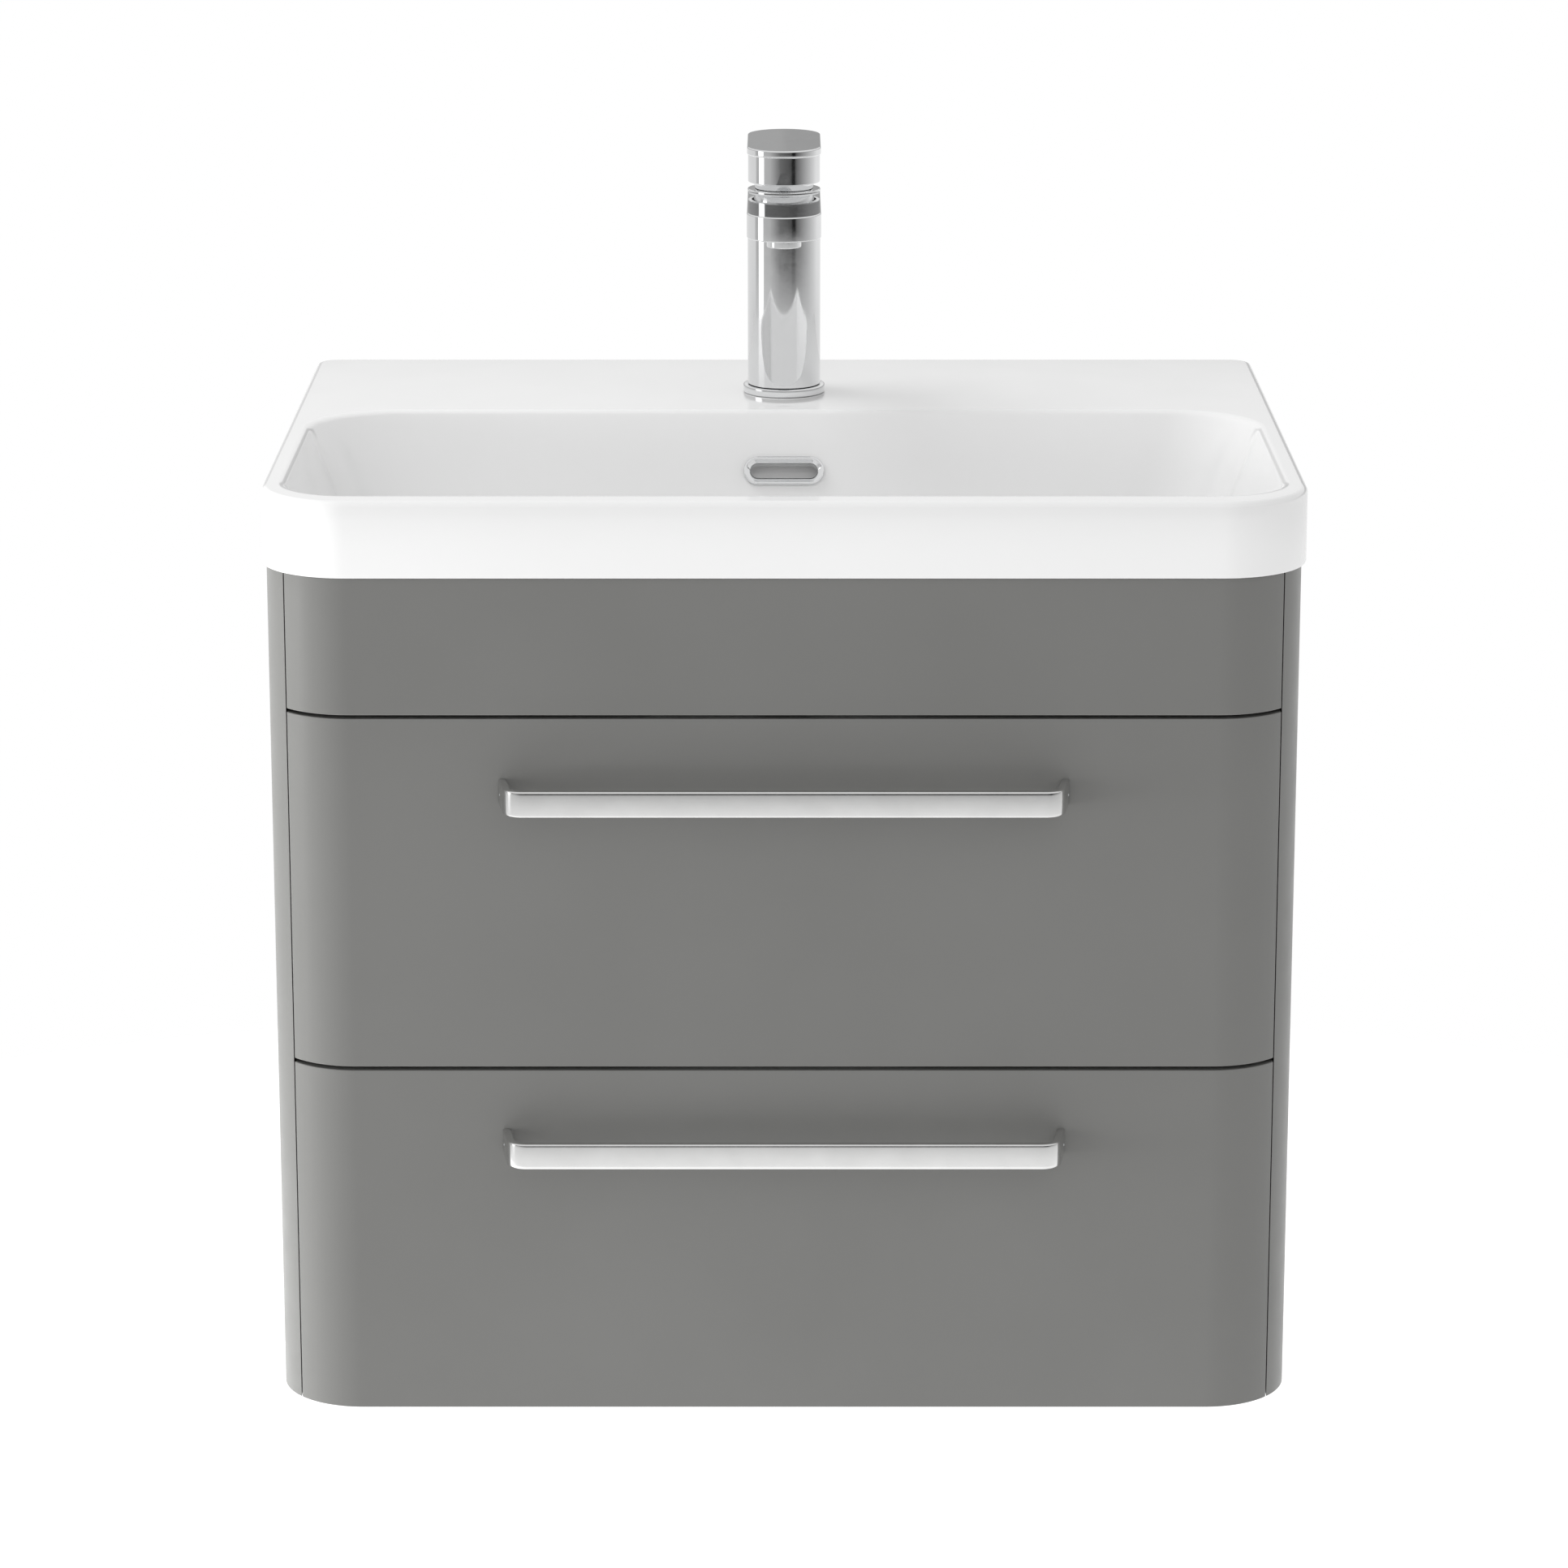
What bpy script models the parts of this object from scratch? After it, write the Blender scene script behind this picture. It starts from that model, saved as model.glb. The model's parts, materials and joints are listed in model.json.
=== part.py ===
"""Wall-hung two-drawer vanity cabinet with a ceramic basin and a single-lever mixer tap.

Metres, +Z up.  X runs across the cabinet, the wall is the plane Y = 0 and the front looks
towards -Y.  The origin is the middle of the hanging rail's wall face.  All heights in this
file are measured up from the cabinet's underside, or where named so from the basin's top,
and the empty called cabinet_underside carries everything down to where the origin wants it.
"""

import math

import bmesh
import bpy
from mathutils import Matrix, Vector

GAP = 0.0003  # left between two pieces that touch

# Cabinet
CABINET_WIDTH = 0.600
CABINET_DEPTH = 0.446
CABINET_HEIGHT = 0.5045
HANG_HEIGHT = 0.450  # middle of the hanging rail
BOARD = 0.018  # side panels and fronts
THIN_BOARD = 0.012  # drawer boxes
CORNER_RADIUS = 0.050  # of the cabinet's two front corners, in plan
FRONT_HALF = 0.2873  # a front's half width; the side panel carries on round the corner
SEAM = 0.001  # between a front and a side panel
RETURN_BACK = -0.411  # where the end returns of the fronts stop
EDGE = 0.0008  # chamfer on board edges

# Fronts: lowest and highest edge of each
LOWER_FRONT = (0.0, 0.2097)
UPPER_FRONT = (0.2120, 0.4216)
FASCIA = (0.4237, 0.5042)

# Drawer boxes
BOX_HALF = 0.2692
BOX_FRONT = -0.4277
BOX_BACK = -0.038
LOWER_BOX = (0.024, 0.156)
UPPER_BOX = (0.228, 0.350)
BASE_DROP = 0.006  # the base sits this far above the sides' lower edge
BASE_THICK = 0.010
CUTOUT_HALF = 0.080  # U-shaped cut-out of the upper drawer, round the waste
CUTOUT_FRONT = -0.355

# Drawer slides
SLIDE_FRONT = -0.408
SLIDE_BACK = -0.018
LOWER_SLIDE_HEIGHT = 0.060
UPPER_SLIDE_HEIGHT = 0.262
STEEL = 0.0013

# Handles
HANDLE_LENGTH = 0.321
HANDLE_FOOT_SPAN = 0.331
HANDLE_REACH = 0.030
HANDLE_HEIGHT = 0.0155
HANDLE_DROP = 0.0433  # centre of the handle below its front's upper edge
HANDLE_SCREW_X = 0.162

# Basin
BASIN_WIDTH = 0.605
BASIN_DEPTH = 0.450
BASIN_TOP = 0.550
SKIRT = 0.0452
CERAMIC = 0.012
BASIN_FRONT_RADIUS = 0.052
BASIN_REAR_RADIUS = 0.014
BOWL_HALF = 0.293
BOWL_FRONT = -0.435
BOWL_REAR = -0.173
BOWL_DEPTH = 0.112
WALL_SLOPE = 0.47  # the bowl wall leans this far in for each unit down
OVERFLOW_DEPTH = 0.035
WASTE_Y = (BOWL_FRONT + BOWL_REAR) / 2

# Tap; its heights are above the basin's top
TAP_Y = -0.112
TAP_RADIUS = 0.02275
TAP_BODY_BOTTOM = 0.0054
TAP_BODY_TOP = 0.1286
SPOUT = (0.112, 0.1273)
SPOUT_REACH = 0.113
AERATOR_REACH = 0.095
LEVER_BOTTOM = 0.1329
LEVER_PLATE = (0.1578, 0.1625)
LEVER_REACH = 0.0775
LEVER_RADIUS = 0.02265
PIVOT_HEIGHT = 0.136
DOME_RADIUS = 0.0192


# ---------------------------------------------------------------- helpers


def clear_scene():
    for item in list(bpy.data.objects):
        bpy.data.objects.remove(item, do_unlink=True)


def make_material(name, colour, roughness, metallic=0.0):
    material = bpy.data.materials.new(name)
    material.use_nodes = True
    shader = material.node_tree.nodes["Principled BSDF"]
    shader.inputs["Base Color"].default_value = (*colour, 1.0)
    shader.inputs["Roughness"].default_value = roughness
    shader.inputs["Metallic"].default_value = metallic
    return material


def make_holder(name, spot, parent=None):
    """An empty at a joint's axis; spot is measured from the cabinet's underside."""
    holder = bpy.data.objects.new(name, None)
    bpy.context.scene.collection.objects.link(holder)
    if parent is None:
        holder.location = spot
    else:
        holder.parent = parent
        holder.location = Vector(spot) - spot_of(parent)
    return holder


def spot_of(holder):
    """Where a holder stands, measured from the cabinet's underside."""
    spot = Vector((0.0, 0.0, 0.0))
    while holder.parent is not None:
        spot += holder.location
        holder = holder.parent
    return spot


def finish(name, shape, spot, holder, material, smooth=False):
    """Turns a bmesh, drawn about its own origin, into a named object at spot."""
    bmesh.ops.recalc_face_normals(shape, faces=shape.faces[:])
    mesh = bpy.data.meshes.new(name)
    shape.to_mesh(mesh)
    shape.free()
    piece = bpy.data.objects.new(name, mesh)
    bpy.context.scene.collection.objects.link(piece)
    piece.parent = holder
    piece.location = Vector(spot) - spot_of(holder)
    if material is not None:
        mesh.materials.append(material)
    if smooth:
        mesh.shade_smooth()
        mesh.set_sharp_from_angle(angle=math.radians(35))
    return piece


def chamfer(piece, width=EDGE, segments=1, angle=40):
    bevel = piece.modifiers.new("chamfer", "BEVEL")
    bevel.width = width
    bevel.segments = segments
    bevel.limit_method = "ANGLE"
    bevel.angle_limit = math.radians(angle)
    return piece


def combine(piece, other, operation):
    """Cuts other from piece, or adds it; other is only a guide and stays hidden."""
    other.hide_render = True
    other.display_type = "WIRE"
    boolean = piece.modifiers.new(operation.lower(), "BOOLEAN")
    boolean.operation = operation
    boolean.solver = "EXACT"
    boolean.object = other
    return piece


def arc(centre, radius, start, end, steps):
    """Points of an arc in plan; the angles are in degrees."""
    points = []
    for step in range(steps + 1):
        angle = math.radians(start + (end - start) * step / steps)
        points.append((centre[0] + radius * math.cos(angle), centre[1] + radius * math.sin(angle)))
    return points


def mirrored(points):
    return [(-x, y) for x, y in reversed(points)]


def extruded(outline, low, high):
    """A prism over an outline in plan."""
    shape = bmesh.new()
    corners = [shape.verts.new((x, y, low)) for x, y in outline]
    base = shape.faces.new(corners)
    lifted = bmesh.ops.extrude_face_region(shape, geom=[base])["geom"]
    moved = [item for item in lifted if isinstance(item, bmesh.types.BMVert)]
    bmesh.ops.translate(shape, verts=moved, vec=(0.0, 0.0, high - low))
    return shape


def turned(profile, steps=32):
    """A round shape from a closed profile of (radius, height), spun about Z."""
    shape = bmesh.new()
    corners = [shape.verts.new((radius, 0.0, height)) for radius, height in profile]
    edges = [shape.edges.new(pair) for pair in zip(corners, corners[1:])]
    if profile[0][0] > 0.0:
        edges.append(shape.edges.new((corners[-1], corners[0])))
    bmesh.ops.spin(
        shape,
        geom=corners + edges,
        cent=(0.0, 0.0, 0.0),
        axis=(0.0, 0.0, 1.0),
        angle=2 * math.pi,
        steps=steps,
        use_merge=True,
    )
    bmesh.ops.remove_doubles(shape, verts=shape.verts[:], dist=1e-6)
    return shape


def lofted(loops):
    """A closed skin over loops of points that all have the same count, capped at both ends."""
    shape = bmesh.new()
    rings = [[shape.verts.new(point) for point in loop] for loop in loops]
    count = len(rings[0])
    for lower, upper in zip(rings, rings[1:]):
        for i in range(count):
            j = (i + 1) % count
            shape.faces.new((lower[i], lower[j], upper[j], upper[i]))
    shape.faces.new(rings[0])
    shape.faces.new(rings[-1])
    return shape


def rounded_loop(half, front, rear, front_radius, rear_radius, height, steps=6):
    """A rectangle in plan with round corners, symmetric in X, as points at one height."""
    right = arc((half - front_radius, front + front_radius), front_radius, -90, 0, steps)
    right += arc((half - rear_radius, rear - rear_radius), rear_radius, 0, 90, steps)
    return [(x, y, height) for x, y in right + mirrored(right)]


def block(name, x, y, z, holder, material=None):
    """A box between two corners, each given as (low, high); without a material it is a guide."""
    size = [high - low for low, high in (x, y, z)]
    centre = [(high + low) / 2 for low, high in (x, y, z)]
    shape = bmesh.new()
    bmesh.ops.create_cube(shape, size=1.0, matrix=Matrix.Diagonal((*size, 1.0)))
    return finish(name, shape, centre, holder, material)


def board(name, x, y, z, holder, material):
    """A block with chamfered edges."""
    return chamfer(block(name, x, y, z, holder, material))


def rod(name, radius, low, high, spot, holder, steps=16):
    """An upright cylinder used as a guide for a cut; low and high count from spot."""
    profile = [(0.0, low), (radius, low), (radius, high), (0.0, high)]
    return finish(name, turned(profile, steps), spot, holder, None)


def side_name(side):
    return "left" if side < 0 else "right"


def ordered(first, second):
    return (min(first, second), max(first, second))


# ---------------------------------------------------------------- carcass


def side_panel_outline():
    """Plan of the right side panel: flat outside, round front corner, rebated front edge."""
    half = CABINET_WIDTH / 2
    centre = (half - CORNER_RADIUS, -(CABINET_DEPTH - CORNER_RADIUS))
    seam_x = FRONT_HALF + SEAM
    seam_angle = -math.degrees(math.acos((seam_x - centre[0]) / CORNER_RADIUS))
    inner = half - BOARD
    rebate = RETURN_BACK + 0.0015
    corner = arc(centre, CORNER_RADIUS, 0, seam_angle, 7)
    return [(half, 0.0)] + corner + [(seam_x, rebate), (inner, rebate), (inner, 0.0)]


def make_side_panels(holder, material):
    for side in (-1, 1):
        outline = [(side * x, y) for x, y in side_panel_outline()]
        shape = extruded(outline, 0.0, CABINET_HEIGHT)
        name = f"side_panel_{side_name(side)}"
        chamfer(finish(name, shape, (0.0, 0.0, 0.0), holder, material, smooth=True), 0.0004)


def front_outline():
    """Plan of a front: flat face, ends curving back, and an end return behind each curve."""
    straight = CABINET_WIDTH / 2 - CORNER_RADIUS
    centre = (straight, -(CABINET_DEPTH - CORNER_RADIUS))
    end_angle = -math.degrees(math.acos((FRONT_HALF - straight) / CORNER_RADIUS))
    inside = BOX_HALF + GAP
    back = -CABINET_DEPTH + BOARD
    right = arc(centre, CORNER_RADIUS, -90, end_angle, 8)
    right += [(FRONT_HALF, RETURN_BACK), (inside, RETURN_BACK), (inside, back)]
    return right + mirrored(right)


def make_front(name, span, holder, material):
    shape = extruded(front_outline(), span[0], span[1])
    return chamfer(finish(name, shape, (0.0, 0.0, 0.0), holder, material, smooth=True))


def make_front_top_rail(holder, material):
    """A board behind the fascia, between the side panels and clear of the bowl above it."""
    reach = CABINET_WIDTH / 2 - BOARD - GAP
    narrow = BOX_HALF - GAP
    front = BOX_FRONT
    shoulder = RETURN_BACK + 0.0018
    right = [(narrow, front), (narrow, shoulder), (reach, shoulder), (reach, -0.394)]
    shape = extruded(right + mirrored(right), FASCIA[0] + GAP, 0.444)
    chamfer(finish("front_top_rail", shape, (0.0, 0.0, 0.0), holder, material))


def make_rear_rails(holder, material):
    """The hanging rail, notched at its upper corners for the hangers, and a lower rail."""
    reach = CABINET_WIDTH / 2 - BOARD - GAP
    notch = 0.260
    low, step, high = HANG_HEIGHT - 0.050, HANG_HEIGHT - 0.016, HANG_HEIGHT + 0.050
    right = [(reach, low), (reach, step), (notch, step), (notch, high)]
    shape = extruded(right + mirrored(right), 0.0, 0.016)
    bmesh.ops.rotate(shape, verts=shape.verts, matrix=Matrix.Rotation(math.pi / 2, 3, "X"))
    chamfer(finish("rear_hanging_rail", shape, (0.0, 0.0, 0.0), holder, material))
    board("rear_lower_rail", (-reach, reach), (-0.016, 0.0), (0.0163, 0.086), holder, material)


def make_bottom_panel(holder, material):
    reach = CABINET_WIDTH / 2 - BOARD - GAP
    board("bottom_panel", (-reach, reach), (-0.4092, 0.0), (0.0, 0.016), holder, material)


def make_hangers(holder, material):
    """Adjustable cabinet hangers in the upper rear corners, each with a hook at its back."""
    back = -0.004
    hook = -0.0006
    low, high = HANG_HEIGHT - 0.008, HANG_HEIGHT + 0.048
    hook_low, hook_high = HANG_HEIGHT + 0.022, HANG_HEIGHT + 0.042
    front = -0.048
    outline = [(front, low), (back, low), (back, hook_low), (hook, hook_low)]
    outline += [(hook, hook_high), (back, hook_high), (back, high), (front, high)]
    turn = Matrix(((0, 0, 1), (1, 0, 0), (0, 1, 0)))
    for side in (-1, 1):
        near, far = 0.2637, 0.2817
        shape = extruded(outline, min(side * near, side * far), max(side * near, side * far))
        bmesh.ops.rotate(shape, verts=shape.verts, matrix=turn)
        name = f"hanger_{side_name(side)}"
        hanger = chamfer(finish(name, shape, (0.0, 0.0, 0.0), holder, material))
        for height in (HANG_HEIGHT + 0.010, HANG_HEIGHT + 0.030):
            centre = (side * (near + far) / 2, front, height)
            recess = rod(f"{name}_recess", 0.004, -0.004, 0.005, centre, holder, 12)
            recess.rotation_euler = (-math.pi / 2, 0.0, 0.0)
            combine(hanger, recess, "DIFFERENCE")


# ---------------------------------------------------------------- drawer slides


def channel_outline(web, lip, half_height):
    """Section of a folded steel channel: web and lip are distances from the side panel."""
    outer = half_height
    inner = half_height - STEEL
    into = STEEL if lip > web else -STEEL
    points = [(web, -outer), (lip, -outer), (lip, -inner), (web + into, -inner)]
    return points + [(web + into, inner), (lip, inner), (lip, outer), (web, outer)]


def make_slide_member(name, section, side, height, holder, material):
    """One channel of a telescopic slide, lying along Y beside the side panel."""
    wall = CABINET_WIDTH / 2 - BOARD
    outline = [(side * (wall - u), v) for u, v in section]
    shape = extruded(outline, 0.0, SLIDE_BACK - SLIDE_FRONT)
    bmesh.ops.rotate(shape, verts=shape.verts, matrix=Matrix.Rotation(math.pi / 2, 3, "X"))
    finish(name, shape, (0.0, SLIDE_BACK, height), holder, material)


def make_slides(level, height, fixed, middle, moving, material):
    for side in (-1, 1):
        tag = f"{level}_{side_name(side)}"
        cabinet_section = channel_outline(GAP, 0.0080, 0.0225)
        middle_section = channel_outline(0.0026, 0.0100, 0.0185)
        drawer_section = channel_outline(0.0124, 0.0050, 0.0133)
        make_slide_member(f"slide_cabinet_{tag}", cabinet_section, side, height, fixed, material)
        make_slide_member(f"slide_middle_{tag}", middle_section, side, height, middle, material)
        make_slide_member(f"slide_drawer_{tag}", drawer_section, side, height, moving, material)


# ---------------------------------------------------------------- drawers


def drill_for_screws(piece, y, height, holder):
    """Two holes along Y for the screws of a handle."""
    for side in (-1, 1):
        centre = (side * HANDLE_SCREW_X, y, height)
        hole = rod(f"{piece.name}_hole", 0.0024, -0.030, 0.030, centre, holder, 12)
        hole.rotation_euler = (math.pi / 2, 0.0, 0.0)
        combine(piece, hole, "DIFFERENCE")


def make_drawer_shell(level, span, box, holder, front_material, box_material):
    """What both drawers share: front, inner front, two sides and the handle."""
    handle_height = span[1] - HANDLE_DROP
    front = make_front(f"{level}_front", span, holder, front_material)
    drill_for_screws(front, -0.437, handle_height, holder)
    inner = BOX_HALF - THIN_BOARD - GAP
    inner_front_y = (BOX_FRONT, BOX_FRONT + THIN_BOARD)
    name = f"{level}_inner_front"
    board(name, (-inner, inner), inner_front_y, box, holder, box_material)
    for side in (-1, 1):
        x = ordered(side * (BOX_HALF - THIN_BOARD), side * BOX_HALF)
        name = f"{level}_side_{side_name(side)}"
        board(name, x, (BOX_FRONT, BOX_BACK), box, holder, box_material)
    return inner, handle_height


def make_lower_drawer(holder, front_material, box_material):
    box = LOWER_BOX
    shell = make_drawer_shell("lower", LOWER_FRONT, box, holder, front_material, box_material)
    inner, handle_height = shell
    base = (box[0] + BASE_DROP, box[0] + BASE_DROP + BASE_THICK)
    base_y = (BOX_FRONT + THIN_BOARD + GAP, BOX_BACK)
    board("lower_base", (-inner, inner), base_y, base, holder, box_material)
    back_y = (BOX_BACK - THIN_BOARD, BOX_BACK)
    board("lower_back", (-inner, inner), back_y, (base[1] + GAP, box[1]), holder, box_material)
    return handle_height


def make_upper_drawer(holder, front_material, box_material):
    """The upper drawer, whose base and back leave a U-shaped way round the waste."""
    box = UPPER_BOX
    shell = make_drawer_shell("upper", UPPER_FRONT, box, holder, front_material, box_material)
    inner, handle_height = shell
    base = (box[0] + BASE_DROP, box[0] + BASE_DROP + BASE_THICK)
    front_edge = BOX_FRONT + THIN_BOARD + GAP
    right = [(inner, front_edge), (inner, BOX_BACK), (CUTOUT_HALF, BOX_BACK)]
    right += [(CUTOUT_HALF, CUTOUT_FRONT)]
    shape = extruded(right + mirrored(right), base[0], base[1])
    chamfer(finish("upper_base", shape, (0.0, 0.0, 0.0), holder, box_material))
    wall_z = (base[1] + GAP, box[1])
    outside = CUTOUT_HALF + THIN_BOARD
    for side in (-1, 1):
        tag = side_name(side)
        back_x = ordered(side * (outside + GAP), side * inner)
        back_y = (BOX_BACK - THIN_BOARD, BOX_BACK)
        board(f"upper_back_{tag}", back_x, back_y, wall_z, holder, box_material)
        wall_x = ordered(side * CUTOUT_HALF, side * outside)
        wall_y = (CUTOUT_FRONT + GAP, BOX_BACK)
        board(f"upper_cutout_{tag}", wall_x, wall_y, wall_z, holder, box_material)
    cross_y = (CUTOUT_FRONT - THIN_BOARD, CUTOUT_FRONT)
    board("upper_cutout_front", (-outside, outside), cross_y, wall_z, holder, box_material)
    return handle_height


def filleted(points, radii, steps=5):
    """An open run of points with its inner corners rounded."""
    result = [points[0]]
    for before, corner, after, radius in zip(points, points[1:], points[2:], radii):
        here = Vector(corner)
        back = (Vector(before) - here).normalized()
        ahead = (Vector(after) - here).normalized()
        half_angle = back.angle(ahead) / 2
        reach = radius / math.tan(half_angle)
        centre = here + (back + ahead).normalized() * (radius / math.sin(half_angle))
        start = here + back * reach - centre
        end = here + ahead * reach - centre
        sweep = start.angle_signed(end)
        for step in range(steps + 1):
            turn = Matrix.Rotation(-sweep * step / steps, 2)
            result.append(tuple(centre + turn @ start))
    result.append(points[-1])
    return result


def handle_outline():
    """Plan of a bow handle: a flat bar whose ends bend back into two spread legs."""
    face = -CABINET_DEPTH - HANDLE_REACH
    foot = -CABINET_DEPTH - GAP
    bar, leg = 0.005, 0.007
    tip = HANDLE_LENGTH / 2
    foot_x = HANDLE_FOOT_SPAN / 2
    outer = [(0.0, face), (tip, face), (foot_x, foot)]
    inner = [(0.0, face + bar), (tip - bar, face + bar), (foot_x - leg, foot)]
    outer = filleted(outer, [0.012])
    inner = filleted(inner, [0.007])
    right = outer[1:] + list(reversed(inner[1:]))
    return right, mirrored(right)


def make_handle(level, height, holder, handle_material, screw_material):
    right, left = handle_outline()
    half = HANDLE_HEIGHT / 2
    shape = extruded(right + left, -half, half)
    name = f"{level}_handle"
    handle = finish(name, shape, (0.0, 0.0, height), holder, handle_material, smooth=True)
    chamfer(handle, 0.0012, 2, 35)
    for side in (-1, 1):
        centre = (side * HANDLE_SCREW_X, -CABINET_DEPTH, height)
        hole = rod(f"{name}_hole", 0.0023, -0.001, 0.008, centre, holder, 12)
        hole.rotation_euler = (math.pi / 2, 0.0, 0.0)
        combine(handle, hole, "DIFFERENCE")
        make_handle_screw(level, side, height, holder, screw_material)


def make_handle_screw(level, side, height, holder, material):
    """A pan-head screw that comes from behind the front and ends in the handle's foot."""
    seat = -CABINET_DEPTH + BOARD + GAP
    tip = -CABINET_DEPTH - 0.007
    length = seat - tip
    profile = [(0.0, 0.0022), (0.003, 0.0020), (0.004, 0.0010), (0.004, 0.0), (0.002, 0.0)]
    profile += [(0.002, -length), (0.0, -length)]
    shape = turned(profile, 12)
    bmesh.ops.rotate(shape, verts=shape.verts, matrix=Matrix.Rotation(-math.pi / 2, 3, "X"))
    name = f"{level}_handle_screw_{side_name(side)}"
    finish(name, shape, (side * HANDLE_SCREW_X, seat, height), holder, material, smooth=True)


# ---------------------------------------------------------------- basin and waste


def bowl_loop(inset, depth):
    """The bowl's plan at one depth below the rim, this far in from the bowl's edge."""
    rear_radius = 0.055 - 0.16 * inset
    front_radius = 0.042
    half = BOWL_HALF - inset
    front, rear = BOWL_FRONT + inset, BOWL_REAR - inset
    return rounded_loop(half, front, rear, front_radius, rear_radius, BASIN_TOP - depth)


def bowl_profile():
    """The bowl's inner wall as (inset, depth): round lip, leaning wall, round foot."""
    lip = 0.005
    lean = math.atan2(1.0, WALL_SLOPE)
    points = [(-0.004, -0.003), (0.0, 0.0)]
    for share in (0.5, 1.0):
        angle = lean * share
        points.append((lip * math.sin(angle), lip * (1 - math.cos(angle))))
    start_inset, start_depth = points[-1]
    wall_foot = 0.062
    points.append((start_inset + WALL_SLOPE * (wall_foot - start_depth), wall_foot))
    points += [(0.046, 0.084), (0.059, 0.098), (0.073, 0.107), (0.088, BOWL_DEPTH)]
    return points


def bowl_outside():
    """The bowl's underside as (inset, depth), a ceramic thickness outside the inner wall."""
    upper = [(-0.007, 0.009), (0.0063, 0.030), (0.0133, 0.045), (0.0228, 0.066)]
    return upper + [(0.038, 0.090), (0.053, 0.107), (0.069, 0.118), (0.088, 0.123)]


def slab_loop(inset, height):
    half = BASIN_WIDTH / 2 - inset
    front, rear = -BASIN_DEPTH + inset, -inset
    front_radius = BASIN_FRONT_RADIUS - inset
    rear_radius = max(BASIN_REAR_RADIUS - inset, 0.003)
    return rounded_loop(half, front, rear, front_radius, rear_radius, height)


def stadium(half_length, radius, steps=8):
    """A slot shape along X, centred on the origin."""
    right = arc((half_length - radius, 0.0), radius, -90, 90, steps)
    return right + mirrored(right)


def make_basin(holder, ceramic):
    """A slab with a skirt all round, the bowl hung in it, and its holes cut through."""
    bottom = BASIN_TOP - SKIRT
    skin = [slab_loop(0.001, bottom), slab_loop(0.0, bottom + 0.001)]
    skin += [slab_loop(0.0, BASIN_TOP - 0.004), slab_loop(0.0012, BASIN_TOP - 0.0012)]
    skin += [slab_loop(0.004, BASIN_TOP)]
    basin = finish("basin", lofted(skin), (0.0, 0.0, 0.0), holder, ceramic)
    hollow = [slab_loop(CERAMIC, bottom - 0.01), slab_loop(CERAMIC, BASIN_TOP - CERAMIC)]
    origin = (0.0, 0.0, 0.0)
    combine(basin, finish("basin_hollow", lofted(hollow), origin, holder, None), "DIFFERENCE")
    outside = [bowl_loop(inset, depth) for inset, depth in bowl_outside()]
    combine(basin, finish("bowl_outside", lofted(outside), origin, holder, None), "UNION")
    boss = block("overflow_boss", (-0.032, 0.032), (-0.196, -0.168), (0.478, 0.541), holder)
    combine(basin, boss, "UNION")
    inside = [bowl_loop(inset, depth) for inset, depth in bowl_profile()]
    combine(basin, finish("bowl_inside", lofted(inside), origin, holder, None), "DIFFERENCE")
    waste_hole = rod("waste_hole", 0.023, 0.400, 0.450, (0.0, WASTE_Y, 0.0), holder, 24)
    combine(basin, waste_hole, "DIFFERENCE")
    tap_hole = rod("tap_hole", 0.0175, 0.530, 0.560, (0.0, TAP_Y, 0.0), holder, 24)
    combine(basin, tap_hole, "DIFFERENCE")
    slot = finish("overflow_slot", extruded(stadium(0.0223, 0.0063), -0.014, 0.010),
                  overflow_spot(), holder, None)
    slot.rotation_euler = overflow_turn()
    combine(basin, slot, "DIFFERENCE")


def overflow_spot():
    """Middle of the overflow on the bowl's rear wall."""
    wall = [point for point in bowl_profile() if point[1] > 0.0][1]
    inset = wall[0] + WALL_SLOPE * (OVERFLOW_DEPTH - wall[1])
    return (0.0, BOWL_REAR - inset, BASIN_TOP - OVERFLOW_DEPTH)


def overflow_turn():
    """Turns local +Z from straight up to square out of the leaning rear wall."""
    return (math.pi / 2 - math.atan(WALL_SLOPE), 0.0, 0.0)


def make_overflow_ring(holder, chrome):
    """A stadium ring on the wall with a spigot that reaches into the slot."""
    shape = extruded(stadium(0.025, 0.009), GAP, 0.0030)
    ring = finish("overflow_ring", shape, overflow_spot(), holder, chrome, smooth=True)
    ring.rotation_euler = overflow_turn()
    spigot = finish("ring_spigot", extruded(stadium(0.0220, 0.0060), -0.006, 0.0015),
                    overflow_spot(), holder, None)
    opening = finish("ring_opening", extruded(stadium(0.0205, 0.0045), -0.010, 0.006),
                     overflow_spot(), holder, None)
    for guide, operation in ((spigot, "UNION"), (opening, "DIFFERENCE")):
        guide.rotation_euler = overflow_turn()
        combine(ring, guide, operation)


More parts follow.
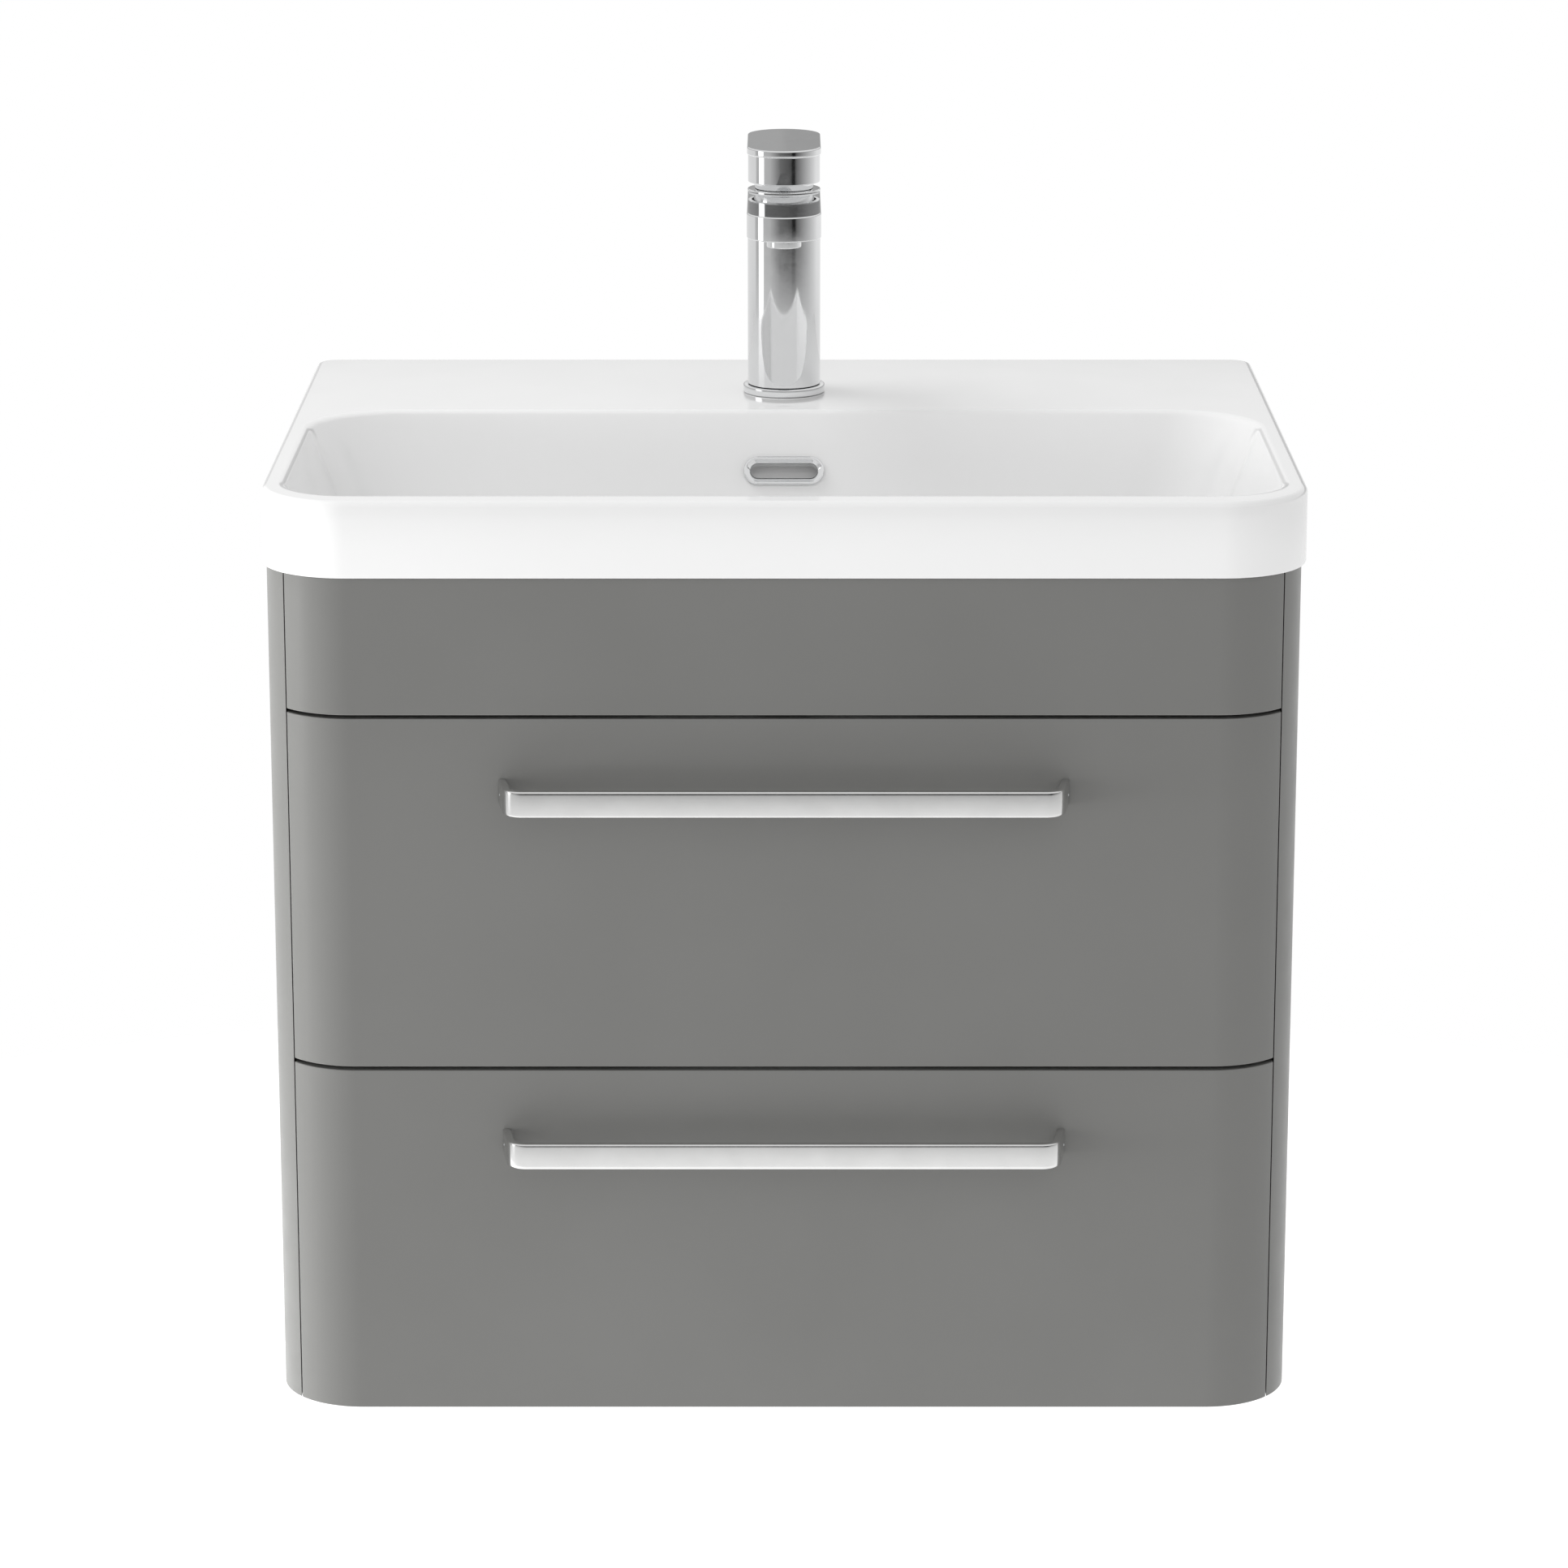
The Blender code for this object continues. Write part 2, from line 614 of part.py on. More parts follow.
def make_waste(holder, plug_holder, chrome, brass, rubber):
    """The click-clack waste: flanged body with a tail, its washer and nut, and its plug."""
    floor = BASIN_TOP - BOWL_DEPTH
    spot = (0.0, WASTE_Y, floor)
    profile = [(0.033, GAP), (0.0325, 0.0020), (0.019, 0.0020), (0.017, 0.0)]
    profile += [(0.017, -0.034), (0.013, -0.038), (0.013, -0.068), (0.016, -0.068)]
    profile += [(0.016, -0.037), (0.021, -0.032), (0.021, GAP)]
    body = finish("waste_body", turned(profile, 24), spot, holder, chrome, smooth=True)
    for turn in range(3):
        arm = block("waste_arm", (-0.0185, 0.0185), (-0.002, 0.002), (-0.002, 0.002), holder)
        arm.location = Vector((0.0, WASTE_Y, floor - 0.026)) - spot_of(holder)
        arm.rotation_euler = (0.0, 0.0, math.radians(60 * turn + 5))
        combine(body, arm, "UNION")
    hub = rod("waste_hub", 0.0072, -0.030, -0.022, spot, holder)
    combine(body, hub, "UNION")
    guide = rod("waste_guide", 0.0046, -0.034, -0.018, spot, holder)
    combine(body, guide, "DIFFERENCE")
    underside = BASIN_TOP - 0.123
    washer = [(0.0214, -0.0036), (0.030, -0.0036), (0.030, -0.0006), (0.0214, -0.0006)]
    finish("waste_washer", turned(washer, 24), (0.0, WASTE_Y, underside), holder, rubber)
    nut = extruded(arc((0.0, 0.0), 0.030, 0, 300, 5), -0.0140, -0.0040)
    nut = finish("waste_nut", nut, (0.0, WASTE_Y, underside), holder, brass)
    bore = rod("waste_nut_bore", 0.0214, -0.020, 0.0, (0.0, WASTE_Y, underside), holder, 24)
    combine(chamfer(nut), bore, "DIFFERENCE")
    cap = [(0.0, 0.0078), (0.014, 0.0074), (0.025, 0.0061), (0.0305, 0.0042), (0.031, 0.0026)]
    cap += [(0.0145, 0.0026), (0.0145, 0.0006), (0.0043, 0.0006), (0.0043, -0.036), (0.0, -0.036)]
    finish("waste_plug", turned(cap, 24), spot, plug_holder, chrome, smooth=True)


# ---------------------------------------------------------------- tap


def deck(height):
    """A spot on the tap's axis, this far above the basin's top."""
    return (0.0, TAP_Y, BASIN_TOP + height)


def reaching_plate(radius, rear, reach, low, high, edge=0.0):
    """A bar in plan from rear to a half-round end reaching forward, with softened edges."""
    tip_centre = (0.0, -(reach - radius))
    outline = arc(tip_centre, radius, 180, 360, 14)
    if rear is None:
        outline += arc((0.0, 0.0), radius, 0, 180, 14)
    else:
        outline += [(radius, rear), (-radius, rear)]
    shape = extruded(outline, low, high)
    if edge > 0.0:
        rims = [e for e in shape.edges if abs(e.verts[0].co.z - e.verts[1].co.z) < 1e-7]
        bmesh.ops.bevel(shape, geom=rims, offset=edge, segments=2, profile=0.5, affect="EDGES")
    return shape


def make_tap_body(holder, chrome):
    """Upright body with its spout, bored for the cartridge, stud, inlets and aerator."""
    radius, low, high = TAP_RADIUS, TAP_BODY_BOTTOM, TAP_BODY_TOP
    profile = [(0.0, low), (radius, low), (radius, high - 0.0006), (radius - 0.0006, high)]
    profile += [(0.0, high)]
    body = finish("tap_body", turned(profile), deck(0.0), holder, chrome, smooth=True)
    spout = reaching_plate(radius - 0.0001, -0.002, SPOUT_REACH, *SPOUT, edge=0.0008)
    combine(body, finish("spout", spout, deck(0.0), holder, None), "UNION")
    combine(body, rod("cartridge_bore", 0.018, 0.092, 0.140, deck(0.0), holder, 24), "DIFFERENCE")
    outlet = Vector(deck(0.0)) + Vector((0.0, -AERATOR_REACH, 0.0))
    combine(body, rod("outlet", 0.0109, 0.105, 0.1183, outlet, holder, 24), "DIFFERENCE")
    stud_spot = Vector(deck(0.0)) + Vector((0.0, 0.009, 0.0))
    combine(body, rod("stud_hole", 0.0043, 0.0, 0.017, stud_spot, holder, 12), "DIFFERENCE")
    for side in (-1, 1):
        inlet_spot = Vector(deck(0.0)) + Vector((side * 0.008, -0.006, 0.0))
        inlet = rod("inlet", 0.005, 0.0, 0.020, inlet_spot, holder, 12)
        combine(body, inlet, "DIFFERENCE")


def make_tap_trim(holder, chrome, satin):
    """The ring at the foot, the domed collar over the cartridge, and the aerator."""
    foot = [(0.017, GAP), (0.0255, GAP), (0.0255, 0.0036), (0.0240, TAP_BODY_BOTTOM - GAP)]
    foot += [(0.017, TAP_BODY_BOTTOM - GAP)]
    finish("tap_base_ring", turned(foot), deck(0.0), holder, chrome, smooth=True)
    low, high = TAP_BODY_TOP + GAP, PIVOT_HEIGHT + 0.008
    start = -math.degrees(math.asin((PIVOT_HEIGHT - low) / DOME_RADIUS))
    end = math.degrees(math.asin((high - PIVOT_HEIGHT) / DOME_RADIUS))
    dome = arc((0.0, PIVOT_HEIGHT), DOME_RADIUS, start, end, 8)
    dome += [(0.011, high), (0.011, high - 0.0025), (0.0148, high - 0.005), (0.0148, low)]
    finish("tap_collar", turned(dome), deck(0.0), holder, chrome, smooth=True)
    outlet = Vector(deck(0.0)) + Vector((0.0, -AERATOR_REACH, 0.0))
    nozzle = [(0.0, 0.109), (0.008, 0.109), (0.0085, 0.107), (0.0100, 0.107), (0.0105, 0.1076)]
    nozzle += [(0.0105, 0.118), (0.0, 0.118)]
    finish("tap_aerator", turned(nozzle, 24), outlet, holder, satin, smooth=True)


def make_tap_fixing(holder, steel, brass):
    """The stud under the tap, with its horseshoe washer and nut below the basin's deck."""
    spot = Vector(deck(0.0)) + Vector((0.0, 0.009, 0.0))
    stud = [(0.0, -0.050), (0.0036, -0.050), (0.004, -0.0496), (0.004, 0.0166), (0.0, 0.0166)]
    finish("tap_stud", turned(stud, 16), spot, holder, steel, smooth=True)
    low, high = -CERAMIC - 0.0035, -CERAMIC - GAP
    washer = [(0.0, low), (0.025, low), (0.025, high), (0.0, high)]
    washer = finish("tap_horseshoe_washer", turned(washer, 24), deck(0.0), holder, steel)
    hole = rod("washer_hole", 0.0044, low - 0.002, high + 0.002, spot, holder, 12)
    combine(washer, hole, "DIFFERENCE")
    outline = [(-0.0105, -0.030)] + mirrored(arc((0.0, -0.004), 0.0105, 180, 0, 10))
    outline = list(dict.fromkeys(outline + [(0.0105, -0.030)]))
    mouth = finish("washer_mouth", extruded(outline, low - 0.002, high + 0.002), deck(0.0),
                   holder, None)
    combine(washer, mouth, "DIFFERENCE")
    nut = extruded(arc((0.0, 0.0), 0.0075, 0, 300, 5), low - 0.0068, low - GAP)
    nut = finish("tap_stud_nut", nut, spot, holder, brass)
    bore = rod("stud_nut_bore", 0.0043, low - 0.010, low + 0.002, spot, holder, 12)
    combine(nut, bore, "DIFFERENCE")


def make_cartridge(holder, swivel, lever, plastic, steel):
    """The mixing cartridge, the forked carrier that swivels on it, and the lever's stem."""
    body = [(0.0, 0.0923), (0.0170, 0.0923), (0.0176, 0.0930), (0.0176, 0.1180), (0.0, 0.1180)]
    finish("tap_cartridge", turned(body, 24), deck(0.0), holder, plastic, smooth=True)
    disc = [(0.0, 0.1183), (0.013, 0.1183), (0.013, 0.1240), (0.0, 0.1240)]
    carrier = finish("tap_carrier", turned(disc, 24), deck(0.0), swivel, plastic)
    for side in (-1, 1):
        x = ordered(side * 0.0042, side * 0.0075)
        y = (TAP_Y - 0.005, TAP_Y + 0.005)
        z = (BASIN_TOP + 0.1230, BASIN_TOP + 0.1390)
        combine(carrier, block("carrier_ear", x, y, z, swivel), "UNION")
    half = 0.0035
    x, y = (-half, half), (TAP_Y - half, TAP_Y + half)
    z = (BASIN_TOP + 0.1300, BASIN_TOP + 0.1558)
    board("lever_stem", x, y, z, lever, steel)


def make_lever(holder, chrome):
    """The lever: a hollow cap over the domed collar under a flat plate that reaches forward."""
    radius, low = LEVER_RADIUS - 0.00025, LEVER_BOTTOM
    cap = [(0.0, low), (radius - 0.0005, low), (radius, low + 0.0005), (radius, 0.1600)]
    cap += [(0.0, 0.1600)]
    lever = finish("tap_lever", turned(cap), deck(0.0), holder, chrome, smooth=True)
    plate = reaching_plate(LEVER_RADIUS, None, LEVER_REACH, *LEVER_PLATE, edge=0.0008)
    combine(lever, finish("lever_plate", plate, deck(0.0), holder, None), "UNION")
    combine(lever, rod("lever_hollow", 0.0202, 0.130, 0.150, deck(0.0), holder, 32), "DIFFERENCE")
    half = 0.0038
    x, y = (-half, half), (TAP_Y - half, TAP_Y + half)
    z = (BASIN_TOP + 0.148, BASIN_TOP + 0.1561)
    combine(lever, block("stem_pocket", x, y, z, holder), "DIFFERENCE")
    relief = block("lever_relief", (-0.03, 0.03), (TAP_Y, TAP_Y + 0.03),
                   (BASIN_TOP + low - 0.02, BASIN_TOP + low), holder)
    relief.location = Vector(deck(low)) + Vector((0.0, 0.0135, 0.0)) - spot_of(holder)
    slope = math.radians(17)
    for corner in relief.data.vertices:
        corner.co.y += 0.015
        corner.co.z -= 0.010
    relief.rotation_euler = (slope, 0.0, 0.0)
    combine(lever, relief, "DIFFERENCE")


# ---------------------------------------------------------------- whole object


def build():
    clear_scene()
    lacquer = make_material("grey_lacquer", (0.195, 0.195, 0.185), 0.38)
    carcass_board = make_material("carcass_board", (0.40, 0.40, 0.39), 0.55)
    box_board = make_material("drawer_board", (0.47, 0.46, 0.44), 0.60)
    ceramic = make_material("glazed_ceramic", (0.88, 0.88, 0.87), 0.08)
    chrome = make_material("chrome", (0.82, 0.83, 0.84), 0.06, 1.0)
    satin = make_material("satin_chrome", (0.74, 0.74, 0.74), 0.22, 1.0)
    zinc = make_material("zinc_steel", (0.62, 0.63, 0.65), 0.35, 1.0)
    brass = make_material("brass", (0.71, 0.56, 0.28), 0.30, 1.0)
    rubber = make_material("rubber", (0.03, 0.03, 0.03), 0.70)
    plastic = make_material("white_plastic", (0.75, 0.75, 0.74), 0.45)

    underside = make_holder("cabinet_underside", (0.0, 0.0, -HANG_HEIGHT))
    lower_spot = (0.0, -CABINET_DEPTH, LOWER_SLIDE_HEIGHT)
    upper_spot = (0.0, -CABINET_DEPTH, UPPER_SLIDE_HEIGHT)
    lower_drawer = make_holder("lower_drawer_slide", lower_spot, underside)
    upper_drawer = make_holder("upper_drawer_slide", upper_spot, underside)
    lower_middle = make_holder("lower_middle_slide", lower_spot, underside)
    upper_middle = make_holder("upper_middle_slide", upper_spot, underside)
    plug = make_holder("plug_lift", (0.0, WASTE_Y, BASIN_TOP - BOWL_DEPTH), underside)
    swivel = make_holder("lever_swivel", deck(PIVOT_HEIGHT), underside)
    lever = make_holder("lever_lift", deck(PIVOT_HEIGHT), swivel)

    make_side_panels(underside, lacquer)
    make_bottom_panel(underside, carcass_board)
    make_front("top_fascia", FASCIA, underside, lacquer)
    make_front_top_rail(underside, carcass_board)
    make_rear_rails(underside, carcass_board)
    make_hangers(underside, zinc)

    lower_handle = make_lower_drawer(lower_drawer, lacquer, box_board)
    make_handle("lower", lower_handle, lower_drawer, satin, zinc)
    upper_handle = make_upper_drawer(upper_drawer, lacquer, box_board)
    make_handle("upper", upper_handle, upper_drawer, satin, zinc)
    make_slides("lower", LOWER_SLIDE_HEIGHT, underside, lower_middle, lower_drawer, zinc)
    make_slides("upper", UPPER_SLIDE_HEIGHT, underside, upper_middle, upper_drawer, zinc)

    make_basin(underside, ceramic)
    make_overflow_ring(underside, chrome)
    make_waste(underside, plug, chrome, brass, rubber)

    make_tap_body(underside, chrome)
    make_tap_trim(underside, chrome, satin)
    make_tap_fixing(underside, zinc, brass)
    make_cartridge(underside, swivel, lever, plastic, zinc)
    make_lever(lever, chrome)


build()
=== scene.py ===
"""The looks of a wall-hung vanity cabinet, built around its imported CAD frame.

The frame gives every place and size: the fine meshes below replace the CAD solids that show,
and the boards and fittings inside keep their CAD shapes under better materials.
Metres, +Z up, the wall is Y = 0 and the front looks towards -Y.
"""

import json
import math

import bmesh
import bpy
from mathutils import Matrix, Vector


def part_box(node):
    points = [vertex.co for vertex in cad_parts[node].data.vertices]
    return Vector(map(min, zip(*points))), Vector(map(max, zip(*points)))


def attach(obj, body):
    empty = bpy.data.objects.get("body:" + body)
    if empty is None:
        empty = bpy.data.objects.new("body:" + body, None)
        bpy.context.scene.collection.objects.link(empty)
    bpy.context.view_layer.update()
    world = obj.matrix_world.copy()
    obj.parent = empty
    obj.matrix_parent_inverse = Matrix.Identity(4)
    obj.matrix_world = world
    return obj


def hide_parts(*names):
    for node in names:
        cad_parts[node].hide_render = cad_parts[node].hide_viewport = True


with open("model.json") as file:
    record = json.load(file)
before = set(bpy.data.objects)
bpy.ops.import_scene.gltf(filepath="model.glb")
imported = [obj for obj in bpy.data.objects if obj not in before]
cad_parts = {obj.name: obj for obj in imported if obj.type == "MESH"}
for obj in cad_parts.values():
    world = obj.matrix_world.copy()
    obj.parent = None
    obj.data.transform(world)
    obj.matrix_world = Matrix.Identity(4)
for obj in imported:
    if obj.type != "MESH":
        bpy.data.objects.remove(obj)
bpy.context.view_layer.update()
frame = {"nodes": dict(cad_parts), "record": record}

# ---------------------------------------------------------------- sizes from the frame

BASE_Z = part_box("side_panel_left")[0].z
RIM_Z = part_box("basin")[1].z
CABINET_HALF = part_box("side_panel_right")[1].x
CABINET_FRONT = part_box("upper_front")[0].y
FRONT_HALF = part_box("upper_front")[1].x
RETURN_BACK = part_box("upper_front")[1].y
TAP_Y = (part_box("tap_base_ring")[0].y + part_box("tap_base_ring")[1].y) / 2
WASTE_Y = (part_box("waste_washer")[0].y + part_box("waste_washer")[1].y) / 2

CORNER_RADIUS = 0.050
BOARD = 0.018
SEAM = 0.0005
TOUCH_GAP = 0.0003
FLAT_HALF = CABINET_HALF - CORNER_RADIUS
PANEL_FACE = CABINET_HALF - BOARD

BASIN_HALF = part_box("basin")[1].x
BASIN_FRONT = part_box("basin")[0].y
SKIRT_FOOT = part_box("side_panel_left")[1].z + TOUCH_GAP
CERAMIC = 0.012
BOWL_HALF = 0.293
BOWL_FRONT = -0.435
BOWL_REAR = -0.173
BOWL_DEPTH = 0.112
WALL_SLOPE = 0.47
LIP_RADIUS = 0.005
LIP_STEPS = 8
OVERFLOW_DEPTH = 0.035

TAP_AXIS = (0.0, TAP_Y, RIM_Z)
TAP_OUTLET = (0.0, TAP_Y - 0.095, RIM_Z)
TAP_STUD = (0.0, TAP_Y + 0.009, RIM_Z)

NO_STRETCH = (1.0, 1.0, 1.0)
ALONG_X = (0.03, 1.0, 1.0)
ALONG_Y = (1.0, 0.03, 1.0)
WHITE = (1.0, 1.0, 1.0, 1.0)


# ---------------------------------------------------------------- materials


def new_material(name, colour, roughness, metallic=0.0, **sockets):
    """A Principled material; every even value is set on its own socket."""
    material = bpy.data.materials.new(name)
    material.use_nodes = True
    shader = material.node_tree.nodes["Principled BSDF"]
    shader.inputs["Base Color"].default_value = (*colour, 1.0)
    shader.inputs["Roughness"].default_value = roughness
    shader.inputs["Metallic"].default_value = metallic
    for socket, value in sockets.items():
        shader.inputs[socket.replace("_", " ")].default_value = value
    return material


def place_on(material, stretch):
    """The surface's own place in metres, stretched along each axis."""
    tree = material.node_tree
    coords = tree.nodes.new("ShaderNodeTexCoord")
    mapping = tree.nodes.new("ShaderNodeMapping")
    mapping.inputs["Scale"].default_value = stretch
    tree.links.new(coords.outputs["Object"], mapping.inputs["Vector"])
    return mapping.outputs["Vector"]


def noise(material, scale, detail, stretch=NO_STRETCH):
    node = material.node_tree.nodes.new("ShaderNodeTexNoise")
    node.inputs["Scale"].default_value = scale
    node.inputs["Detail"].default_value = detail
    material.node_tree.links.new(place_on(material, stretch), node.inputs["Vector"])
    return node.outputs["Fac"]


def cells(material, scale):
    node = material.node_tree.nodes.new("ShaderNodeTexVoronoi")
    node.inputs["Scale"].default_value = scale
    material.node_tree.links.new(place_on(material, NO_STRETCH), node.inputs["Vector"])
    return node.outputs["Color"]


def vary_colour(material, pattern, dark, light, low=0.3, high=0.7):
    """Colour from dark to light where the pattern goes from low to high."""
    ramp = material.node_tree.nodes.new("ShaderNodeValToRGB")
    ramp.color_ramp.elements[0].position = low
    ramp.color_ramp.elements[0].color = (*dark, 1.0)
    ramp.color_ramp.elements[1].position = high
    ramp.color_ramp.elements[1].color = (*light, 1.0)
    shader = material.node_tree.nodes["Principled BSDF"]
    material.node_tree.links.new(pattern, ramp.inputs["Fac"])
    material.node_tree.links.new(ramp.outputs["Color"], shader.inputs["Base Color"])


def vary_roughness(material, pattern, low, high):
    """Roughness from low to high over the middle of the pattern's range."""
    spread = material.node_tree.nodes.new("ShaderNodeMapRange")
    spread.inputs["From Min"].default_value = 0.3
    spread.inputs["From Max"].default_value = 0.7
    spread.inputs["To Min"].default_value = low
    spread.inputs["To Max"].default_value = high
    shader = material.node_tree.nodes["Principled BSDF"]
    material.node_tree.links.new(pattern, spread.inputs["Value"])
    material.node_tree.links.new(spread.outputs["Result"], shader.inputs["Roughness"])


def raise_surface(material, pattern, strength, distance):
    """A bump as deep as distance, in metres."""
    bump = material.node_tree.nodes.new("ShaderNodeBump")
    bump.inputs["Strength"].default_value = strength
    bump.inputs["Distance"].default_value = distance
    shader = material.node_tree.nodes["Principled BSDF"]
    material.node_tree.links.new(pattern, bump.inputs["Height"])
    material.node_tree.links.new(bump.outputs["Normal"], shader.inputs["Normal"])


def grey_lacquer():
    """Sprayed satin lacquer: a faint orange peel and the slightest drift of tone."""
    material = new_material("grey_lacquer", (0.160, 0.160, 0.154), 0.36,
                            Coat_Weight=0.12, Coat_Roughness=0.30)
    vary_colour(material, noise(material, 7, 3), (0.155, 0.155, 0.149), (0.165, 0.165, 0.159))
    vary_roughness(material, noise(material, 60, 3), 0.33, 0.40)
    raise_surface(material, noise(material, 900, 1), 0.05, 0.0002)
    return material


def ceramic_glaze():
    """Thick white glaze: mirror-smooth with a slow wave, as fired glaze has."""
    material = new_material("ceramic_glaze", (0.80, 0.80, 0.80), 0.07,
                            Coat_Weight=0.5, Coat_Roughness=0.03)
    vary_colour(material, noise(material, 5, 2), (0.792, 0.792, 0.791), (0.808, 0.808, 0.808))
    vary_roughness(material, noise(material, 30, 2), 0.06, 0.09)
    raise_surface(material, noise(material, 16, 1), 0.06, 0.0006)
    return material


def polished_chrome():
    material = new_material("polished_chrome", (0.78, 0.785, 0.79), 0.05, 1.0)
    vary_colour(material, noise(material, 40, 3), (0.765, 0.77, 0.775), (0.795, 0.80, 0.805))
    vary_roughness(material, noise(material, 160, 4), 0.035, 0.07)
    raise_surface(material, noise(material, 220, 2), 0.02, 0.00005)
    return material


def satin_chrome():
    """The handles' softer plating, with fine polishing lines along the bar."""
    material = new_material("satin_chrome", (0.73, 0.73, 0.725), 0.14, 1.0)
    vary_colour(material, noise(material, 60, 3), (0.71, 0.71, 0.705), (0.75, 0.75, 0.745))
    vary_roughness(material, noise(material, 900, 3, ALONG_X), 0.125, 0.155)
    raise_surface(material, noise(material, 1500, 2, (0.02, 1.0, 1.0)), 0.03, 0.00005)
    return material


def faced_board(name, dark, light, stretch):
    """Melamine-faced board: soft grain lines, long on the axis where stretch is small."""
    material = new_material(name, light, 0.5)
    vary_colour(material, noise(material, 140, 6, stretch), dark, light, 0.35, 0.65)
    vary_roughness(material, noise(material, 200, 3), 0.45, 0.60)
    raise_surface(material, noise(material, 1200, 3, stretch), 0.12, 0.0002)
    return material


def zinc_plate():
    """Zinc-plated steel: small crystals of slightly different brightness."""
    material = new_material("zinc_plate", (0.60, 0.61, 0.63), 0.35, 1.0)
    vary_colour(material, cells(material, 420), (0.52, 0.53, 0.55), (0.66, 0.67, 0.69), 0.0, 1.0)
    vary_roughness(material, noise(material, 300, 3), 0.28, 0.42)
    raise_surface(material, noise(material, 700, 2), 0.04, 0.0001)
    return material


def turned_brass():
    material = new_material("turned_brass", (0.70, 0.55, 0.27), 0.3, 1.0)
    vary_colour(material, noise(material, 90, 3), (0.62, 0.47, 0.22), (0.74, 0.59, 0.31))
    vary_roughness(material, noise(material, 900, 2, (0.1, 0.1, 1.0)), 0.22, 0.36)
    raise_surface(material, noise(material, 1400, 2, (0.05, 0.05, 1.0)), 0.08, 0.0001)
    return material


def soft_rubber():
    material = new_material("soft_rubber", (0.03, 0.03, 0.03), 0.7)
    vary_colour(material, noise(material, 80, 4), (0.024, 0.024, 0.025), (0.04, 0.04, 0.04))
    raise_surface(material, noise(material, 900, 3), 0.2, 0.0002)
    return material


def white_plastic():
    material = new_material("white_plastic", (0.72, 0.72, 0.71), 0.4)
    vary_colour(material, noise(material, 50, 3), (0.684, 0.684, 0.6745), (0.756, 0.756, 0.7455))
    raise_surface(material, noise(material, 1100, 2), 0.1, 0.0001)
    return material


LACQUER = grey_lacquer()
GLAZE = ceramic_glaze()
CHROME = polished_chrome()
SATIN = satin_chrome()
CARCASS = faced_board("carcass_board", (0.31, 0.31, 0.30), (0.36, 0.36, 0.35), ALONG_X)
DRAWER_TONES = ((0.37, 0.365, 0.35), (0.42, 0.415, 0.40))
DRAWER_SIDE = faced_board("drawer_side_board", *DRAWER_TONES, ALONG_Y)
DRAWER_CROSS = faced_board("drawer_cross_board", *DRAWER_TONES, ALONG_X)
ZINC = zinc_plate()
BRASS = turned_brass()
RUBBER = soft_rubber()
PLASTIC = white_plastic()


# ---------------------------------------------------------------- mesh helpers


def arc(centre, radius, start, end, steps):
    """Points of an arc, both ends included; the angles are in degrees."""
    points = []
    for step in range(steps + 1):
        angle = math.radians(start + (end - start) * step / steps)
        points.append((centre[0] + radius * math.cos(angle), centre[1] + radius * math.sin(angle)))
    return points


def mirrored(points):
    """The left half of an outline, in the order that carries on from its right half."""
    return [(-x, y) for x, y in reversed(points)]


def rectangle(half, front, rear):
    """A plan rectangle about the middle plane."""
    return [(-half, front), (half, front), (half, rear), (-half, rear)]


def prism(outline, low, high):
    """A plan outline raised from low to high."""
    shape = bmesh.new()
    base = shape.faces.new([shape.verts.new((x, y, low)) for x, y in outline])
    lifted = bmesh.ops.extrude_face_region(shape, geom=[base])["geom"]
    moved = [item for item in lifted if isinstance(item, bmesh.types.BMVert)]
    bmesh.ops.translate(shape, verts=moved, vec=(0.0, 0.0, high - low))
    return shape


def turned(profile, steps=96):
    """A round shape from a closed profile of (radius, height), spun about Z."""
    shape = bmesh.new()
    corners = [shape.verts.new((radius, 0.0, height)) for radius, height in profile]
    edges = [shape.edges.new(pair) for pair in zip(corners, corners[1:])]
    if profile[0][0] > 0.0:
        edges.append(shape.edges.new((corners[-1], corners[0])))
    bmesh.ops.spin(shape, geom=corners + edges, cent=(0, 0, 0), axis=(0, 0, 1),
                   angle=2 * math.pi, steps=steps, use_merge=True)
    bmesh.ops.remove_doubles(shape, verts=shape.verts[:], dist=1e-6)
    return shape


def disc(radius, low, high, steps):
    return turned([(0.0, low), (radius, low), (radius, high), (0.0, high)], steps)


def lofted(loops, closed=False):
    """A skin over loops with equal counts: capped at both ends, or closed into a ring."""
    shape = bmesh.new()
    rings = [[shape.verts.new(point) for point in loop] for loop in loops]
    count = len(rings[0])
    pairs = list(zip(rings, rings[1:]))
    if closed:
        pairs.append((rings[-1], rings[0]))
    for lower, upper in pairs:
        for i in range(count):
            j = (i + 1) % count
            shape.faces.new((lower[i], lower[j], upper[j], upper[i]))
    if not closed:
        shape.faces.new(rings[0])
        shape.faces.new(rings[-1])
    return shape


def rounded_loop(half, front, rear, front_radius, rear_radius, height, steps=20):
    """A level loop round a rectangle with two corner radii."""
    right = arc((half - front_radius, front + front_radius), front_radius, -90, 0, steps)
    right += arc((half - rear_radius, rear - rear_radius), rear_radius, 0, 90, steps)
    return [(x, y, height) for x, y in right + mirrored(right)]


def round_rims(shape, width, segments):
    """Rounds the edges that lie flat at one height, which are a prism's two rims."""
    rims = [e for e in shape.edges if abs(e.verts[0].co.z - e.verts[1].co.z) < 1e-7]
    bmesh.ops.bevel(shape, geom=rims, offset=width, segments=segments, profile=0.5,
                    affect="EDGES")
    return shape


